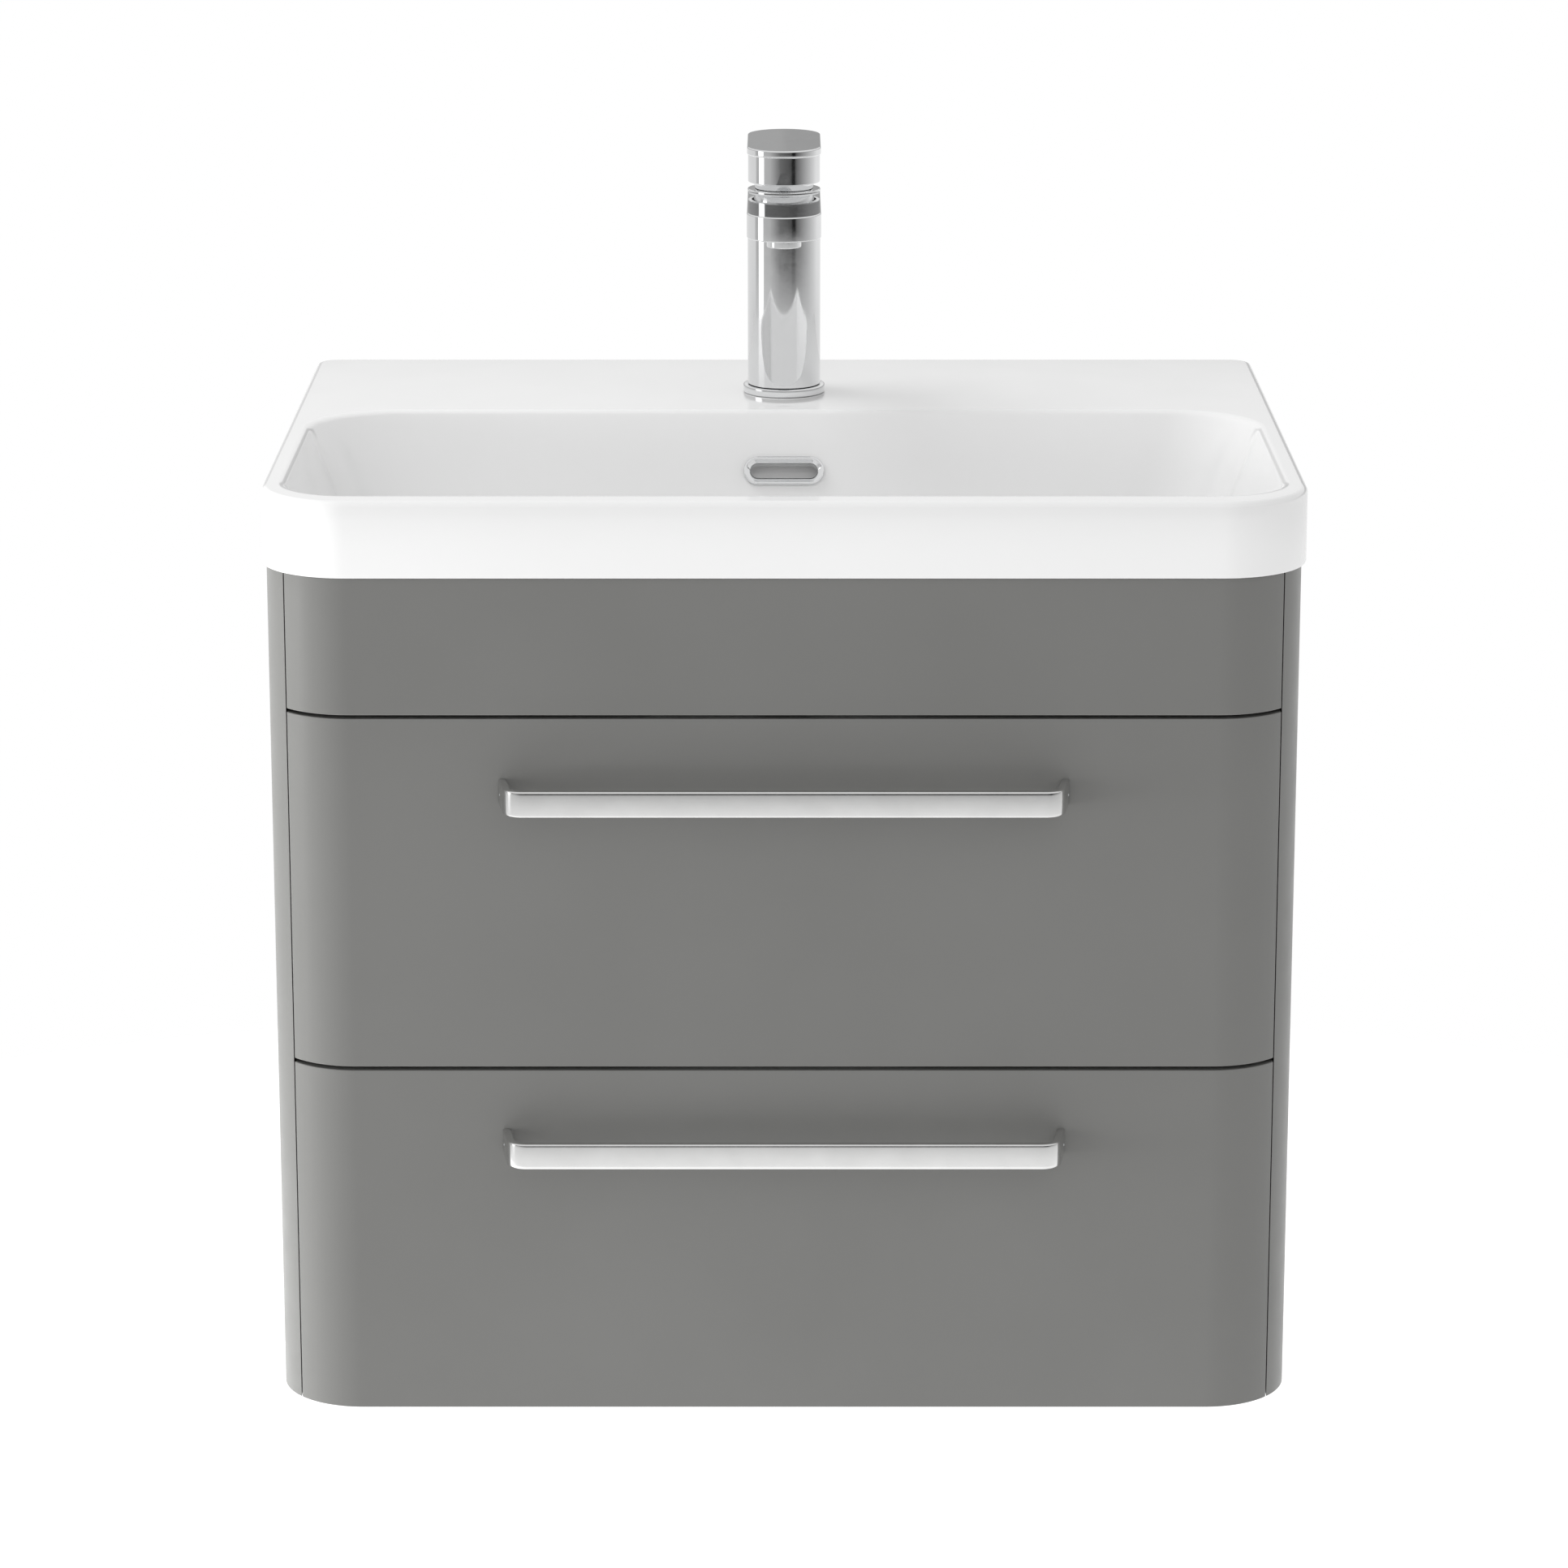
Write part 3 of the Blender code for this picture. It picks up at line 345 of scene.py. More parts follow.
def make_piece(name, shape, material, spot=(0.0, 0.0, 0.0), turn=(0.0, 0.0, 0.0)):
    """A named object from a bmesh, with its place and its turn, in radians, in the mesh."""
    bmesh.ops.recalc_face_normals(shape, faces=shape.faces[:])
    mesh = bpy.data.meshes.new(name)
    shape.to_mesh(mesh)
    shape.free()
    place = Matrix.Translation(spot)
    for angle, axis in zip(turn, "XYZ"):
        place = place @ Matrix.Rotation(angle, 4, axis)
    mesh.transform(place)
    piece = bpy.data.objects.new(name, mesh)
    bpy.context.scene.collection.objects.link(piece)
    if material is not None:
        mesh.materials.append(material)
    return piece


def combine(piece, tool, operation):
    """Applies an exact Boolean with tool, then removes tool."""
    boolean = piece.modifiers.new("boolean", "BOOLEAN")
    boolean.operation = operation
    boolean.solver = "EXACT"
    boolean.object = tool
    bpy.context.view_layer.update()
    depsgraph = bpy.context.evaluated_depsgraph_get()
    result = bpy.data.meshes.new_from_object(piece.evaluated_get(depsgraph))
    piece.modifiers.remove(boolean)
    old = piece.data
    piece.data = result
    bpy.data.meshes.remove(old)
    bpy.data.objects.remove(tool)
    return piece


def soften(piece, angle=32, width=0.0):
    """Optional round edges, then smooth shading that keeps flat faces flat."""
    if width > 0.0:
        bevel = piece.modifiers.new("round_edges", "BEVEL")
        bevel.width = width
        bevel.segments = 3
        bevel.limit_method = "ANGLE"
        bevel.angle_limit = math.radians(40)
    piece.data.shade_smooth()
    piece.data.set_sharp_from_angle(angle=math.radians(angle))
    weighted = piece.modifiers.new("weighted_normals", "WEIGHTED_NORMAL")
    weighted.keep_sharp = True
    weighted.weight = 80
    return piece


def soften_basin(basin):
    """Smooth shading for the basin: even weights on its curves, and a deck that stays flat.

    The modifier reads each face's strength from this attribute: strong 16383, weak -16383.
    """
    strong = 16383
    soften(basin, angle=28)
    weighted = basin.modifiers["weighted_normals"]
    weighted.mode = "CORNER_ANGLE"
    weighted.weight = 50
    weighted.use_face_influence = True
    strength = basin.data.attributes.new("__mod_weightednormals_faceweight", "INT", "FACE")
    for face in basin.data.polygons:
        level = abs(face.normal.z) > 0.9999
        strength.data[face.index].value = strong if level else -strong


def hand_over(piece, body, slot, *nodes):
    """Puts a piece on its body and hides the CAD nodes it stands for. The slot argument is not
    used.
    """
    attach(piece, body)
    if nodes:
        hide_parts(*nodes)
    return piece


# ---------------------------------------------------------------- lacquered cabinet


def front_outline():
    """A front in plan: flat face, round corners, and returns that hug the drawer's sides."""
    centre = (FLAT_HALF, CABINET_FRONT + CORNER_RADIUS)
    end_angle = -math.degrees(math.acos((FRONT_HALF - FLAT_HALF) / CORNER_RADIUS))
    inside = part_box("upper_side_right")[1].x + TOUCH_GAP
    right = arc(centre, CORNER_RADIUS, -90, end_angle, 28)
    right += [(FRONT_HALF, RETURN_BACK), (inside, RETURN_BACK), (inside, CABINET_FRONT + BOARD)]
    return right + mirrored(right)


def make_fronts():
    for node, body in (("upper_front", "upper_drawer"), ("lower_front", "lower_drawer"),
                       ("top_fascia", "carcass")):
        low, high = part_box(node)
        front = make_piece(f"{node}_lacquered", prism(front_outline(), low.z, high.z), LACQUER)
        soften(front, width=0.0005)
        hand_over(front, body, "grey_lacquer", node)


def make_side_panels():
    """Each panel carries on round its corner, up to a fine seam beside the fronts."""
    centre = (FLAT_HALF, CABINET_FRONT + CORNER_RADIUS)
    seam_x = FRONT_HALF + SEAM
    seam_angle = -math.degrees(math.acos((seam_x - FLAT_HALF) / CORNER_RADIUS))
    rebate = RETURN_BACK + 0.0015
    outline = [(CABINET_HALF, 0.0)] + arc(centre, CORNER_RADIUS, 0, seam_angle, 24)
    outline += [(seam_x, rebate), (PANEL_FACE, rebate), (PANEL_FACE, 0.0)]
    for side, tag in ((-1, "left"), (1, "right")):
        node = f"side_panel_{tag}"
        low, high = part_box(node)
        shape = prism([(side * x, y) for x, y in outline], low.z, high.z)
        panel = soften(make_piece(f"{node}_lacquered", shape, LACQUER), width=0.0004)
        hand_over(panel, "carcass", "grey_lacquer", node)


# ---------------------------------------------------------------- handles


HANDLE_HALF_THICK = 0.0025
HANDLE_HALF_HEIGHT = 0.00775


def handle_path(steps=14):
    """Middle line of the bow in plan, foot to foot, with its two bends rounded."""
    low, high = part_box("upper_handle")
    bar_half = 0.1605
    radius = 0.0095
    face, foot = low.y + HANDLE_HALF_THICK, high.y
    foot_x = high.x - 0.0030
    tip = (bar_half - HANDLE_HALF_THICK, face)
    lean = math.atan2(foot_x - tip[0], foot - face)
    sweep = math.pi / 2 - lean
    reach = radius * math.tan(sweep / 2)
    bend_centre = (tip[0] - reach, face + radius)
    right = [(0.0, face), (bend_centre[0] / 2, face)]
    for step in range(steps + 1):
        angle = -math.pi / 2 + sweep * step / steps
        right.append((bend_centre[0] + radius * math.cos(angle),
                      bend_centre[1] + radius * math.sin(angle)))
    right.append((foot_x, foot))
    return mirrored(right[1:]) + right


def handle_section():
    """The bar's section as (outward, up): crowned face, round edges, flat back."""
    half_up, half_out = HANDLE_HALF_HEIGHT, HANDLE_HALF_THICK
    crown, edge = 0.0002, 0.0011
    points = []
    half_steps = 6
    for step in range(2 * half_steps + 1):
        up = (half_up - edge) * (-1 + step / half_steps)
        points.append((half_out - crown * (up / half_up) ** 2, up))
    shoulder = points[-1][0] - edge
    points += [(shoulder + edge * math.sin(a), half_up - edge + edge * math.cos(a))
               for a in (math.pi / 3, math.pi / 6, 0.0)]
    points += [(-half_out + edge - edge * math.sin(a), half_up - edge + edge * math.cos(a))
               for a in (0.0, math.pi / 4, math.pi / 2)]
    points += [(-half_out + edge - edge * math.sin(a), -half_up + edge - edge * math.cos(a))
               for a in (math.pi / 2, math.pi / 4, 0.0)]
    points += [(shoulder + edge * math.sin(a), -half_up + edge - edge * math.cos(a))
               for a in (0.0, math.pi / 6, math.pi / 3)]
    return points


def make_handles():
    """Sweeps the bar's section along the bow, with its feet square to the drawer's front."""
    path = [Vector(point) for point in handle_path()]
    section = handle_section()
    for level in ("upper", "lower"):
        low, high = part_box(f"{level}_handle")
        middle = (low.z + high.z) / 2
        loops = []
        for i, point in enumerate(path):
            before, after = path[max(i - 1, 0)], path[min(i + 1, len(path) - 1)]
            along = (after - before).normalized()
            outward = Vector((along.y, -along.x))
            if i in (0, len(path) - 1):
                outward = Vector((math.copysign(1.0, point.x), 0.0))
            loops.append([(point.x + outward.x * out, point.y + outward.y * out, middle + up)
                          for out, up in section])
        handle = make_piece(f"{level}_handle_bow", lofted(loops), SATIN)
        soften(handle, angle=50)
        hand_over(handle, f"{level}_drawer", "satin_chrome", f"{level}_handle")


# ---------------------------------------------------------------- basin


def bowl_loop(inset, depth):
    """A level loop of the bowl; its rear corners tighten as it narrows."""
    rear_radius = 0.055 - 0.16 * inset
    return rounded_loop(BOWL_HALF - inset, BOWL_FRONT + inset, BOWL_REAR - inset, 0.042,
                        rear_radius, RIM_Z - depth)


def bowl_profile():
    """Inner wall as (inset, depth): round lip, leaning wall, and a foot on a smooth curve.

    It starts a little above the rim, so that the bowl is cut clean through it.
    """
    lean = math.atan2(1.0, WALL_SLOPE)
    points = [(-0.004, -0.003)]
    for step in range(LIP_STEPS + 1):
        angle = lean * step / LIP_STEPS
        points.append((LIP_RADIUS * math.sin(angle), LIP_RADIUS * (1 - math.cos(angle))))
    inset, depth = points[-1]
    foot_depth = 0.060
    foot = (inset + WALL_SLOPE * (foot_depth - depth), foot_depth)
    points.append(((inset + foot[0]) / 2, (depth + foot[1]) / 2))
    reach = 0.036
    pull = (foot[0] + WALL_SLOPE * reach, foot_depth + reach)
    flat = (0.066, BOWL_DEPTH)
    end = (0.088, BOWL_DEPTH)
    steps = 14
    for step in range(steps + 1):
        t = step / steps
        weights = ((1 - t) ** 3, 3 * t * (1 - t) ** 2, 3 * t * t * (1 - t), t ** 3)
        corners = (foot, pull, flat, end)
        points.append(tuple(sum(w * c[k] for w, c in zip(weights, corners)) for k in (0, 1)))
    return points


def bowl_outside():
    """The bowl's underside as (inset, depth), hidden in the cabinet."""
    wall = [(-0.007, 0.009), (0.0063, 0.030), (0.0133, 0.045), (0.0228, 0.066)]
    return wall + [(0.038, 0.090), (0.053, 0.107), (0.069, 0.118), (0.088, 0.123)]


def slab_loop(inset, height):
    """A level loop of the slab, with round front corners and small rear ones."""
    rear_radius = max(0.014 - inset, 0.003)
    return rounded_loop(BASIN_HALF - inset, BASIN_FRONT + inset, -inset, 0.052 - inset,
                        rear_radius, height)


def stadium(half_length, radius, steps=20):
    """An outline with two straight sides and half-round ends."""
    right = arc((half_length - radius, 0.0), radius, -90, 90, steps)
    return right + mirrored(right)


def overflow_place():
    """Middle of the overflow on the rear wall, and the turn that faces it square on."""
    lip_end = bowl_profile()[LIP_STEPS + 1]
    inset = lip_end[0] + WALL_SLOPE * (OVERFLOW_DEPTH - lip_end[1])
    spot = (0.0, BOWL_REAR - inset, RIM_Z - OVERFLOW_DEPTH)
    return spot, (math.pi / 2 - math.atan(WALL_SLOPE), 0.0, 0.0)


def round_edge(radius, top, steps=8):
    """Loops that turn an upright side into a flat top with an even radius."""
    loops = []
    for step in range(steps + 1):
        angle = math.pi / 2 * step / steps
        inset, drop = radius * (1 - math.cos(angle)), radius * (1 - math.sin(angle))
        loops.append(slab_loop(inset, top - drop))
    return loops


def make_basin():
    """A skirted slab, hollow below, joined to the bowl and to the boss behind the overflow.

    The holes for the waste and the tap and the blind overflow slot are cut last.
    """
    skin = [slab_loop(0.0015, SKIRT_FOOT), slab_loop(0.0004, SKIRT_FOOT + 0.0004)]
    skin += [slab_loop(0.0, SKIRT_FOOT + 0.0015)] + round_edge(0.004, RIM_Z)
    basin = make_piece("basin_glazed", lofted(skin), GLAZE)
    hollow = [slab_loop(CERAMIC, SKIRT_FOOT - 0.01), slab_loop(CERAMIC, RIM_Z - CERAMIC)]
    combine(basin, make_piece("hollow", lofted(hollow), None), "DIFFERENCE")
    outside = [bowl_loop(inset, depth) for inset, depth in bowl_outside()]
    combine(basin, make_piece("outside", lofted(outside), None), "UNION")
    boss = prism(rectangle(0.032, -0.196, -0.168), RIM_Z - 0.072, RIM_Z - 0.009)
    combine(basin, make_piece("boss", boss, None), "UNION")
    inside = [bowl_loop(inset, depth) for inset, depth in bowl_profile()]
    combine(basin, make_piece("inside", lofted(inside), None), "DIFFERENCE")
    waste_hole = (0.023, WASTE_Y, RIM_Z - BOWL_DEPTH)
    tap_hole = (0.0175, TAP_Y, RIM_Z)
    for radius, y, height in (waste_hole, tap_hole):
        hole = disc(radius, -0.02, 0.01, 64)
        combine(basin, make_piece("hole", hole, None, (0.0, y, height)), "DIFFERENCE")
    spot, turn = overflow_place()
    slot = make_piece("slot", prism(stadium(0.0223, 0.0063), -0.014, 0.010), None, spot, turn)
    combine(basin, slot, "DIFFERENCE")
    soften_basin(basin)
    hand_over(basin, "carcass", "glazed_ceramic", "basin")


def make_overflow_ring():
    """A softly rounded chrome ring that lines the slot; its section is (inset, height)."""
    spot, turn = overflow_place()
    half_length, end_radius = 0.025, 0.009
    crest = [(0.0, 0.0003), (0.0, 0.0016), (0.0002, 0.0023), (0.0006, 0.0028), (0.0011, 0.0030)]
    inner = [(0.0016, 0.0029), (0.0024, 0.0023), (0.0033, 0.0016), (0.0041, 0.0010)]
    lining = [(0.0045, 0.0003), (0.0045, -0.0060), (0.0030, -0.0060), (0.0030, 0.0003)]
    loops = []
    for inset, height in crest + inner + lining:
        outline = stadium(half_length - inset, end_radius - inset)
        loops.append([(x, y, height) for x, y in outline])
    ring = make_piece("overflow_ring_chrome", lofted(loops, closed=True), CHROME, spot, turn)
    soften(ring, angle=40)
    hand_over(ring, "carcass", "chrome", "overflow_ring")


# ---------------------------------------------------------------- waste


def make_waste():
    """The flanged body with three bars across it for its guide, and the plug.

    Heights are from the bowl's floor.
    """
    spot = (0.0, WASTE_Y, RIM_Z - BOWL_DEPTH)
    profile = [(0.0330, 0.0003), (0.0330, 0.0009), (0.0326, 0.0016), (0.0318, 0.0020)]
    profile += [(0.0195, 0.0020), (0.0180, 0.0014), (0.0170, 0.0), (0.0170, -0.034)]
    profile += [(0.0130, -0.038), (0.0130, -0.068), (0.0160, -0.068), (0.0160, -0.037)]
    profile += [(0.0210, -0.032), (0.0210, 0.0003)]
    body = make_piece("waste_body_chrome", turned(profile), CHROME, spot)
    for turn in range(3):
        bar = prism(rectangle(0.0185, -0.002, 0.002), -0.028, -0.024)
        angle = (0.0, 0.0, math.radians(60 * turn + 5))
        combine(body, make_piece("bar", bar, None, spot, angle), "UNION")
    hub = disc(0.0072, -0.030, -0.022, 48)
    combine(body, make_piece("hub", hub, None, spot), "UNION")
    guide = disc(0.0046, -0.034, -0.018, 48)
    combine(body, make_piece("guide", guide, None, spot), "DIFFERENCE")
    hand_over(soften(body), "carcass", "chrome", "waste_body")
    dome_radius, dome_foot, dome_rise = 0.0305, 0.0044, 0.0034
    cap = [(0.0, dome_foot + dome_rise)]
    cap += [(dome_radius * share, dome_foot + dome_rise * math.sqrt(1 - share ** 2.6))
            for share in (0.15, 0.3, 0.45, 0.6, 0.72, 0.82, 0.9, 0.96, 1.0)]
    cap += [(0.0309, 0.0038), (0.0310, 0.0032), (0.0308, 0.0027), (0.0303, 0.0026)]
    cap += [(0.0145, 0.0026), (0.0145, 0.0006), (0.0043, 0.0006), (0.0043, -0.0355)]
    cap += [(0.0038, -0.036), (0.0, -0.036)]
    plug = soften(make_piece("waste_plug_chrome", turned(cap), CHROME, spot))
    hand_over(plug, "plug", "chrome", "waste_plug")


# ---------------------------------------------------------------- tap


TAP_RADIUS = 0.02275


def reaching_plate(radius, rear, reach, low, high, edge, steps=48):
    """A bar with a half-round front end and round edges; with no rear it is round behind too."""
    outline = arc((0.0, -(reach - radius)), radius, 180, 360, steps)
    if rear is None:
        outline += arc((0.0, 0.0), radius, 0, 180, steps)
    else:
        outline += [(radius, rear), (-radius, rear)]
    return round_rims(prism(outline, low, high), edge, 4)


def make_tap_body():
    """Column and spout in one, bored for the cartridge, the aerator, the stud and the inlets."""
    radius, low, high, edge = TAP_RADIUS, 0.0054, 0.1286, 0.0006
    profile = [(0.0, low), (radius - 0.0003, low), (radius, low + 0.0003)]
    profile += [(radius - edge + edge * math.cos(a), high - edge + edge * math.sin(a))
                for a in (0.0, math.pi / 6, math.pi / 3, math.pi / 2)]
    profile += [(0.0, high)]
    body = make_piece("tap_body_chrome", turned(profile, 128), CHROME, TAP_AXIS)
    spout = reaching_plate(radius - 0.0001, -0.002, 0.113, 0.112, 0.1273, 0.0008)
    combine(body, make_piece("spout", spout, None, TAP_AXIS), "UNION")
    bore = disc(0.018, 0.092, 0.14, 64)
    combine(body, make_piece("bore", bore, None, TAP_AXIS), "DIFFERENCE")
    outlet = disc(0.0109, 0.105, 0.1183, 64)
    combine(body, make_piece("outlet", outlet, None, TAP_OUTLET), "DIFFERENCE")
    stud_hole = (0.0, 0.009, 0.0043, 0.017)
    inlets = [(x, -0.006, 0.005, 0.020) for x in (-0.008, 0.008)]
    for x, y, hole_radius, depth in (stud_hole, *inlets):
        hole = disc(hole_radius, 0.0, depth, 32)
        combine(body, make_piece("hole", hole, None, (x, TAP_Y + y, RIM_Z)), "DIFFERENCE")
    hand_over(soften(body, angle=30), "carcass", "chrome", "tap_body")


def make_tap_trim():
    """Base ring, domed collar under the lever, and aerator; heights from the basin's rim."""
    foot = [(0.017, 0.0003), (0.0252, 0.0003), (0.0255, 0.0008), (0.0255, 0.0043)]
    foot += [(0.0254, 0.0047), (0.0251, 0.0050), (0.0247, 0.0051), (0.017, 0.0051)]
    ring = soften(make_piece("tap_base_ring_chrome", turned(foot), CHROME, TAP_AXIS))
    hand_over(ring, "carcass", "chrome", "tap_base_ring")
    pivot, radius = 0.136, 0.0192
    low, high = 0.1289, 0.144
    start = -math.degrees(math.asin((pivot - low) / radius))
    end = math.degrees(math.asin((high - pivot) / radius))
    dome = arc((0.0, pivot), radius, start, end, 24)
    dome += [(0.011, high), (0.011, high - 0.0025), (0.0148, high - 0.005), (0.0148, low)]
    collar = soften(make_piece("tap_collar_chrome", turned(dome), CHROME, TAP_AXIS))
    hand_over(collar, "carcass", "chrome", "tap_collar")
    nozzle = [(0.0, 0.1085), (0.0078, 0.1085), (0.0082, 0.1071), (0.0088, 0.1070)]
    nozzle += [(0.0100, 0.1070), (0.0104, 0.1072), (0.0105, 0.1077), (0.0105, 0.1180)]
    nozzle += [(0.0, 0.1180)]
    aerator = soften(make_piece("tap_aerator_chrome", turned(nozzle), CHROME, TAP_OUTLET))
    hand_over(aerator, "carcass", "satin_chrome", "tap_aerator")
    mesh_disc = make_piece("tap_aerator_mesh", aerator_mesh(), PLASTIC, TAP_OUTLET)
    hand_over(mesh_disc, "carcass", "white_plastic")


def aerator_mesh():
    """The honeycomb under the aerator: a thin disc with rings of small ribs."""
    shape = disc(0.0074, 0.1076, 0.1083, 48)
    for ring, count in ((0.0022, 6), (0.0046, 12)):
        for i in range(count):
            angle = 2 * math.pi * i / count
            place = Matrix.Translation((ring * math.cos(angle), ring * math.sin(angle), 0.1074))
            bmesh.ops.create_cone(shape, cap_ends=True, segments=6, radius1=0.0008,
                                  radius2=0.0008, depth=0.0003, matrix=place)
    return shape


def make_lever():
    """Cap and plate, two solids with the fine seam between them that the real lever shows.

    A wedge is cut away low behind, so that the cap can tip back as the lever lifts.
    """
    radius, low, top = 0.0224, 0.1329, 0.1576
    inner_radius, ceiling = 0.0202, 0.150
    profile = [(0.0, ceiling), (inner_radius, ceiling), (inner_radius, low)]
    profile += [(radius - 0.0005, low), (radius - 0.0001, low + 0.0002), (radius, low + 0.0006)]
    profile += [(radius, top - 0.0003), (radius - 0.0003, top), (0.0, top)]
    cap = make_piece("lever_cap_chrome", turned(profile, 128), CHROME, TAP_AXIS)
    relief = prism(rectangle(0.03, 0.0, 0.030), -0.02, 0.0)
    place = (0.0, TAP_Y + 0.0135, RIM_Z + low)
    turn = (math.radians(17), 0.0, 0.0)
    combine(cap, make_piece("relief", relief, None, place, turn), "DIFFERENCE")
    hand_over(soften(cap, angle=30), "lever", "chrome", "tap_lever")
    plate = reaching_plate(TAP_RADIUS - 0.0001, None, 0.0775, 0.1578, 0.1625, 0.0009)
    plate = soften(make_piece("lever_plate_chrome", plate, CHROME, TAP_AXIS), angle=30)
    hand_over(plate, "lever", "chrome")


def make_tap_stud():
    """The fixing stud, with a rolled thread along its whole length."""
    foot, length = -0.0498, 0.066
    pitch, core, crest = 0.00125, 0.0034, 0.0040
    per_turn = 24
    loops_per_turn = 6
    turns = int(length / pitch)
    loops = []
    for i in range(turns * loops_per_turn + 1):
        height = foot + i * pitch / loops_per_turn
        loop = []
        for k in range(per_turn):
            phase = (height / pitch - k / per_turn) % 1.0
            bulge = 1 - abs(2 * phase - 1)
            radius = core + (crest - core) * bulge
            angle = 2 * math.pi * k / per_turn
            loop.append((radius * math.cos(angle), radius * math.sin(angle), height))
        loops.append(loop)
    stud = soften(make_piece("tap_stud_threaded", lofted(loops), ZINC, TAP_STUD), angle=50)
    hand_over(stud, "carcass", "zinc_steel", "tap_stud")


# ---------------------------------------------------------------- slides and inside


def slide_section(web, lip, half_height, steel=0.0013):
    """A folded channel with round outside bends: (distance from the side panel, height)."""
    bend, fillet = 0.0022, 0.0008
    sign = 1 if lip > web else -1
    corner = [(web + sign * bend * (1 - math.sin(a)), half_height - bend * (1 - math.cos(a)))
              for a in (0.0, math.pi / 6, math.pi / 3, math.pi / 2)]
    upper = [(lip, half_height - steel), (lip, half_height)] + corner
    lower = [(out, -up) for out, up in reversed(upper)]
    face = web + sign * steel
    inner_half = half_height - steel
    inner = [(face + sign * fillet, -inner_half), (face, -inner_half + fillet)]
    inner += [(face, inner_half - fillet), (face + sign * fillet, inner_half)]
    return upper + lower + inner


def make_slides():
    """Each member keeps its CAD length and height; sections are (web, lip, half height)."""
    sections = {"cabinet": (0.0003, 0.0080, 0.0225), "middle": (0.0026, 0.0100, 0.0185),
                "drawer": (0.0124, 0.0050, 0.0133)}
    for level in ("upper", "lower"):
        bodies = {"cabinet": "carcass", "middle": f"{level}_slide_middles",
                  "drawer": f"{level}_drawer"}
        for side, tag in ((-1, "left"), (1, "right")):
            for member, sizes in sections.items():
                node = f"slide_{member}_{level}_{tag}"
                low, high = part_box(node)
                height = (low.z + high.z) / 2
                section = slide_section(*sizes)
                outline = [(side * (PANEL_FACE - out), -up) for out, up in section]
                shape = prism(outline, low.y, high.y)
                spot, lay_down = (0.0, 0.0, height), (-math.pi / 2, 0.0, 0.0)
                piece = make_piece(f"{node}_rolled", shape, ZINC, spot, lay_down)
                hand_over(soften(piece), bodies[member], "zinc_steel", node)
            make_balls(level, side, tag)


def make_balls(level, side, tag):
    """Two rows of balls above and below, with the strips that space them.

    The rows against the cabinet channel sit at the middle channel's rear, the rows against
    the drawer channel at its front. A row is (distance from the side panel, height, ball
    radius, start, end).
    """
    low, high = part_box(f"slide_middle_{level}_{tag}")
    height = (low.z + high.z) / 2
    end_gap, far_end, count, strip = 0.012, 0.190, 12, 0.0006
    rows = ((0.0055, 0.01985, 0.0012, high.y - far_end, high.y - end_gap),
            (0.0078, 0.01525, 0.0017, low.y + end_gap, low.y + far_end))
    shape = bmesh.new()
    strips = bmesh.new()
    for out, up, radius, start, end in rows:
        for row_z in (height - up, height + up):
            for i in range(count):
                y = start + (end - start) * (i + 0.5) / count
                place = Matrix.Translation((side * (PANEL_FACE - out), y, row_z))
                bmesh.ops.create_uvsphere(shape, u_segments=16, v_segments=8, radius=radius,
                                          matrix=place)
            strip_x = side * (PANEL_FACE - out - radius * 1.25)
            centre = Matrix.Translation((strip_x, (start + end) / 2, row_z))
            size = Matrix.Diagonal((strip, end - start, radius * 1.5, 1.0))
            bmesh.ops.create_cube(strips, size=1.0, matrix=centre @ size)
    body = f"{level}_slide_middles"
    balls = soften(make_piece(f"slide_balls_{level}_{tag}", shape, ZINC), angle=60)
    hand_over(balls, body, "zinc_steel")
    cages = soften(make_piece(f"slide_cages_{level}_{tag}", strips, ZINC), width=0.0001)
    hand_over(cages, body, "zinc_steel")


def screw_head(shape, spot, axis, radius=0.0034, rise=0.0011):
    """Adds a pan head to a growing mesh."""
    turn = Vector((0.0, 0.0, 1.0)).rotation_difference(Vector(axis)).to_matrix().to_4x4()
    head = turned([(0.0, rise), (radius * 0.45, rise * 0.95), (radius * 0.8, rise * 0.7),
                   (radius, rise * 0.2), (radius, 0.0), (0.0, 0.0)], 24)
    head.transform(Matrix.Translation(spot) @ turn)
    mesh = bpy.data.meshes.new("head")
    head.to_mesh(mesh)
    head.free()
    shape.from_mesh(mesh)
    bpy.data.meshes.remove(mesh)


def make_slide_screws():
    """Screws through each drawer channel into the drawer's side."""
    channel_face = PANEL_FACE - 0.0111
    for level in ("upper", "lower"):
        shape = bmesh.new()
        for side, tag in ((-1, "left"), (1, "right")):
            low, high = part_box(f"slide_drawer_{level}_{tag}")
            for share in (0.08, 0.5, 0.92):
                y = low.y + (high.y - low.y) * share
                spot = (side * channel_face, y, (low.z + high.z) / 2)
                screw_head(shape, spot, (side, 0.0, 0.0))
        screws = soften(make_piece(f"slide_screws_{level}", shape, ZINC), angle=40)
        hand_over(screws, f"{level}_drawer", "zinc_steel")


def dress_inner_nodes():
    """The boards and fittings that keep their CAD shape get their fine material."""
    looks = {"carcass_board": CARCASS, "zinc_steel": ZINC, "brass": BRASS, "rubber": RUBBER,
             "white_plastic": PLASTIC}
    slots = {row["node"]: row["material_slot"] for row in frame["record"]["subparts"]}
    for name, node in frame["nodes"].items():
        look = looks.get(slots[name])
        if slots[name] == "drawer_board":
            low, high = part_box(name)
            look = DRAWER_SIDE if high.y - low.y > high.x - low.x else DRAWER_CROSS
        if look is not None:
            node.data.materials.clear()
            node.data.materials.append(look)


# ---------------------------------------------------------------- stage, light and camera


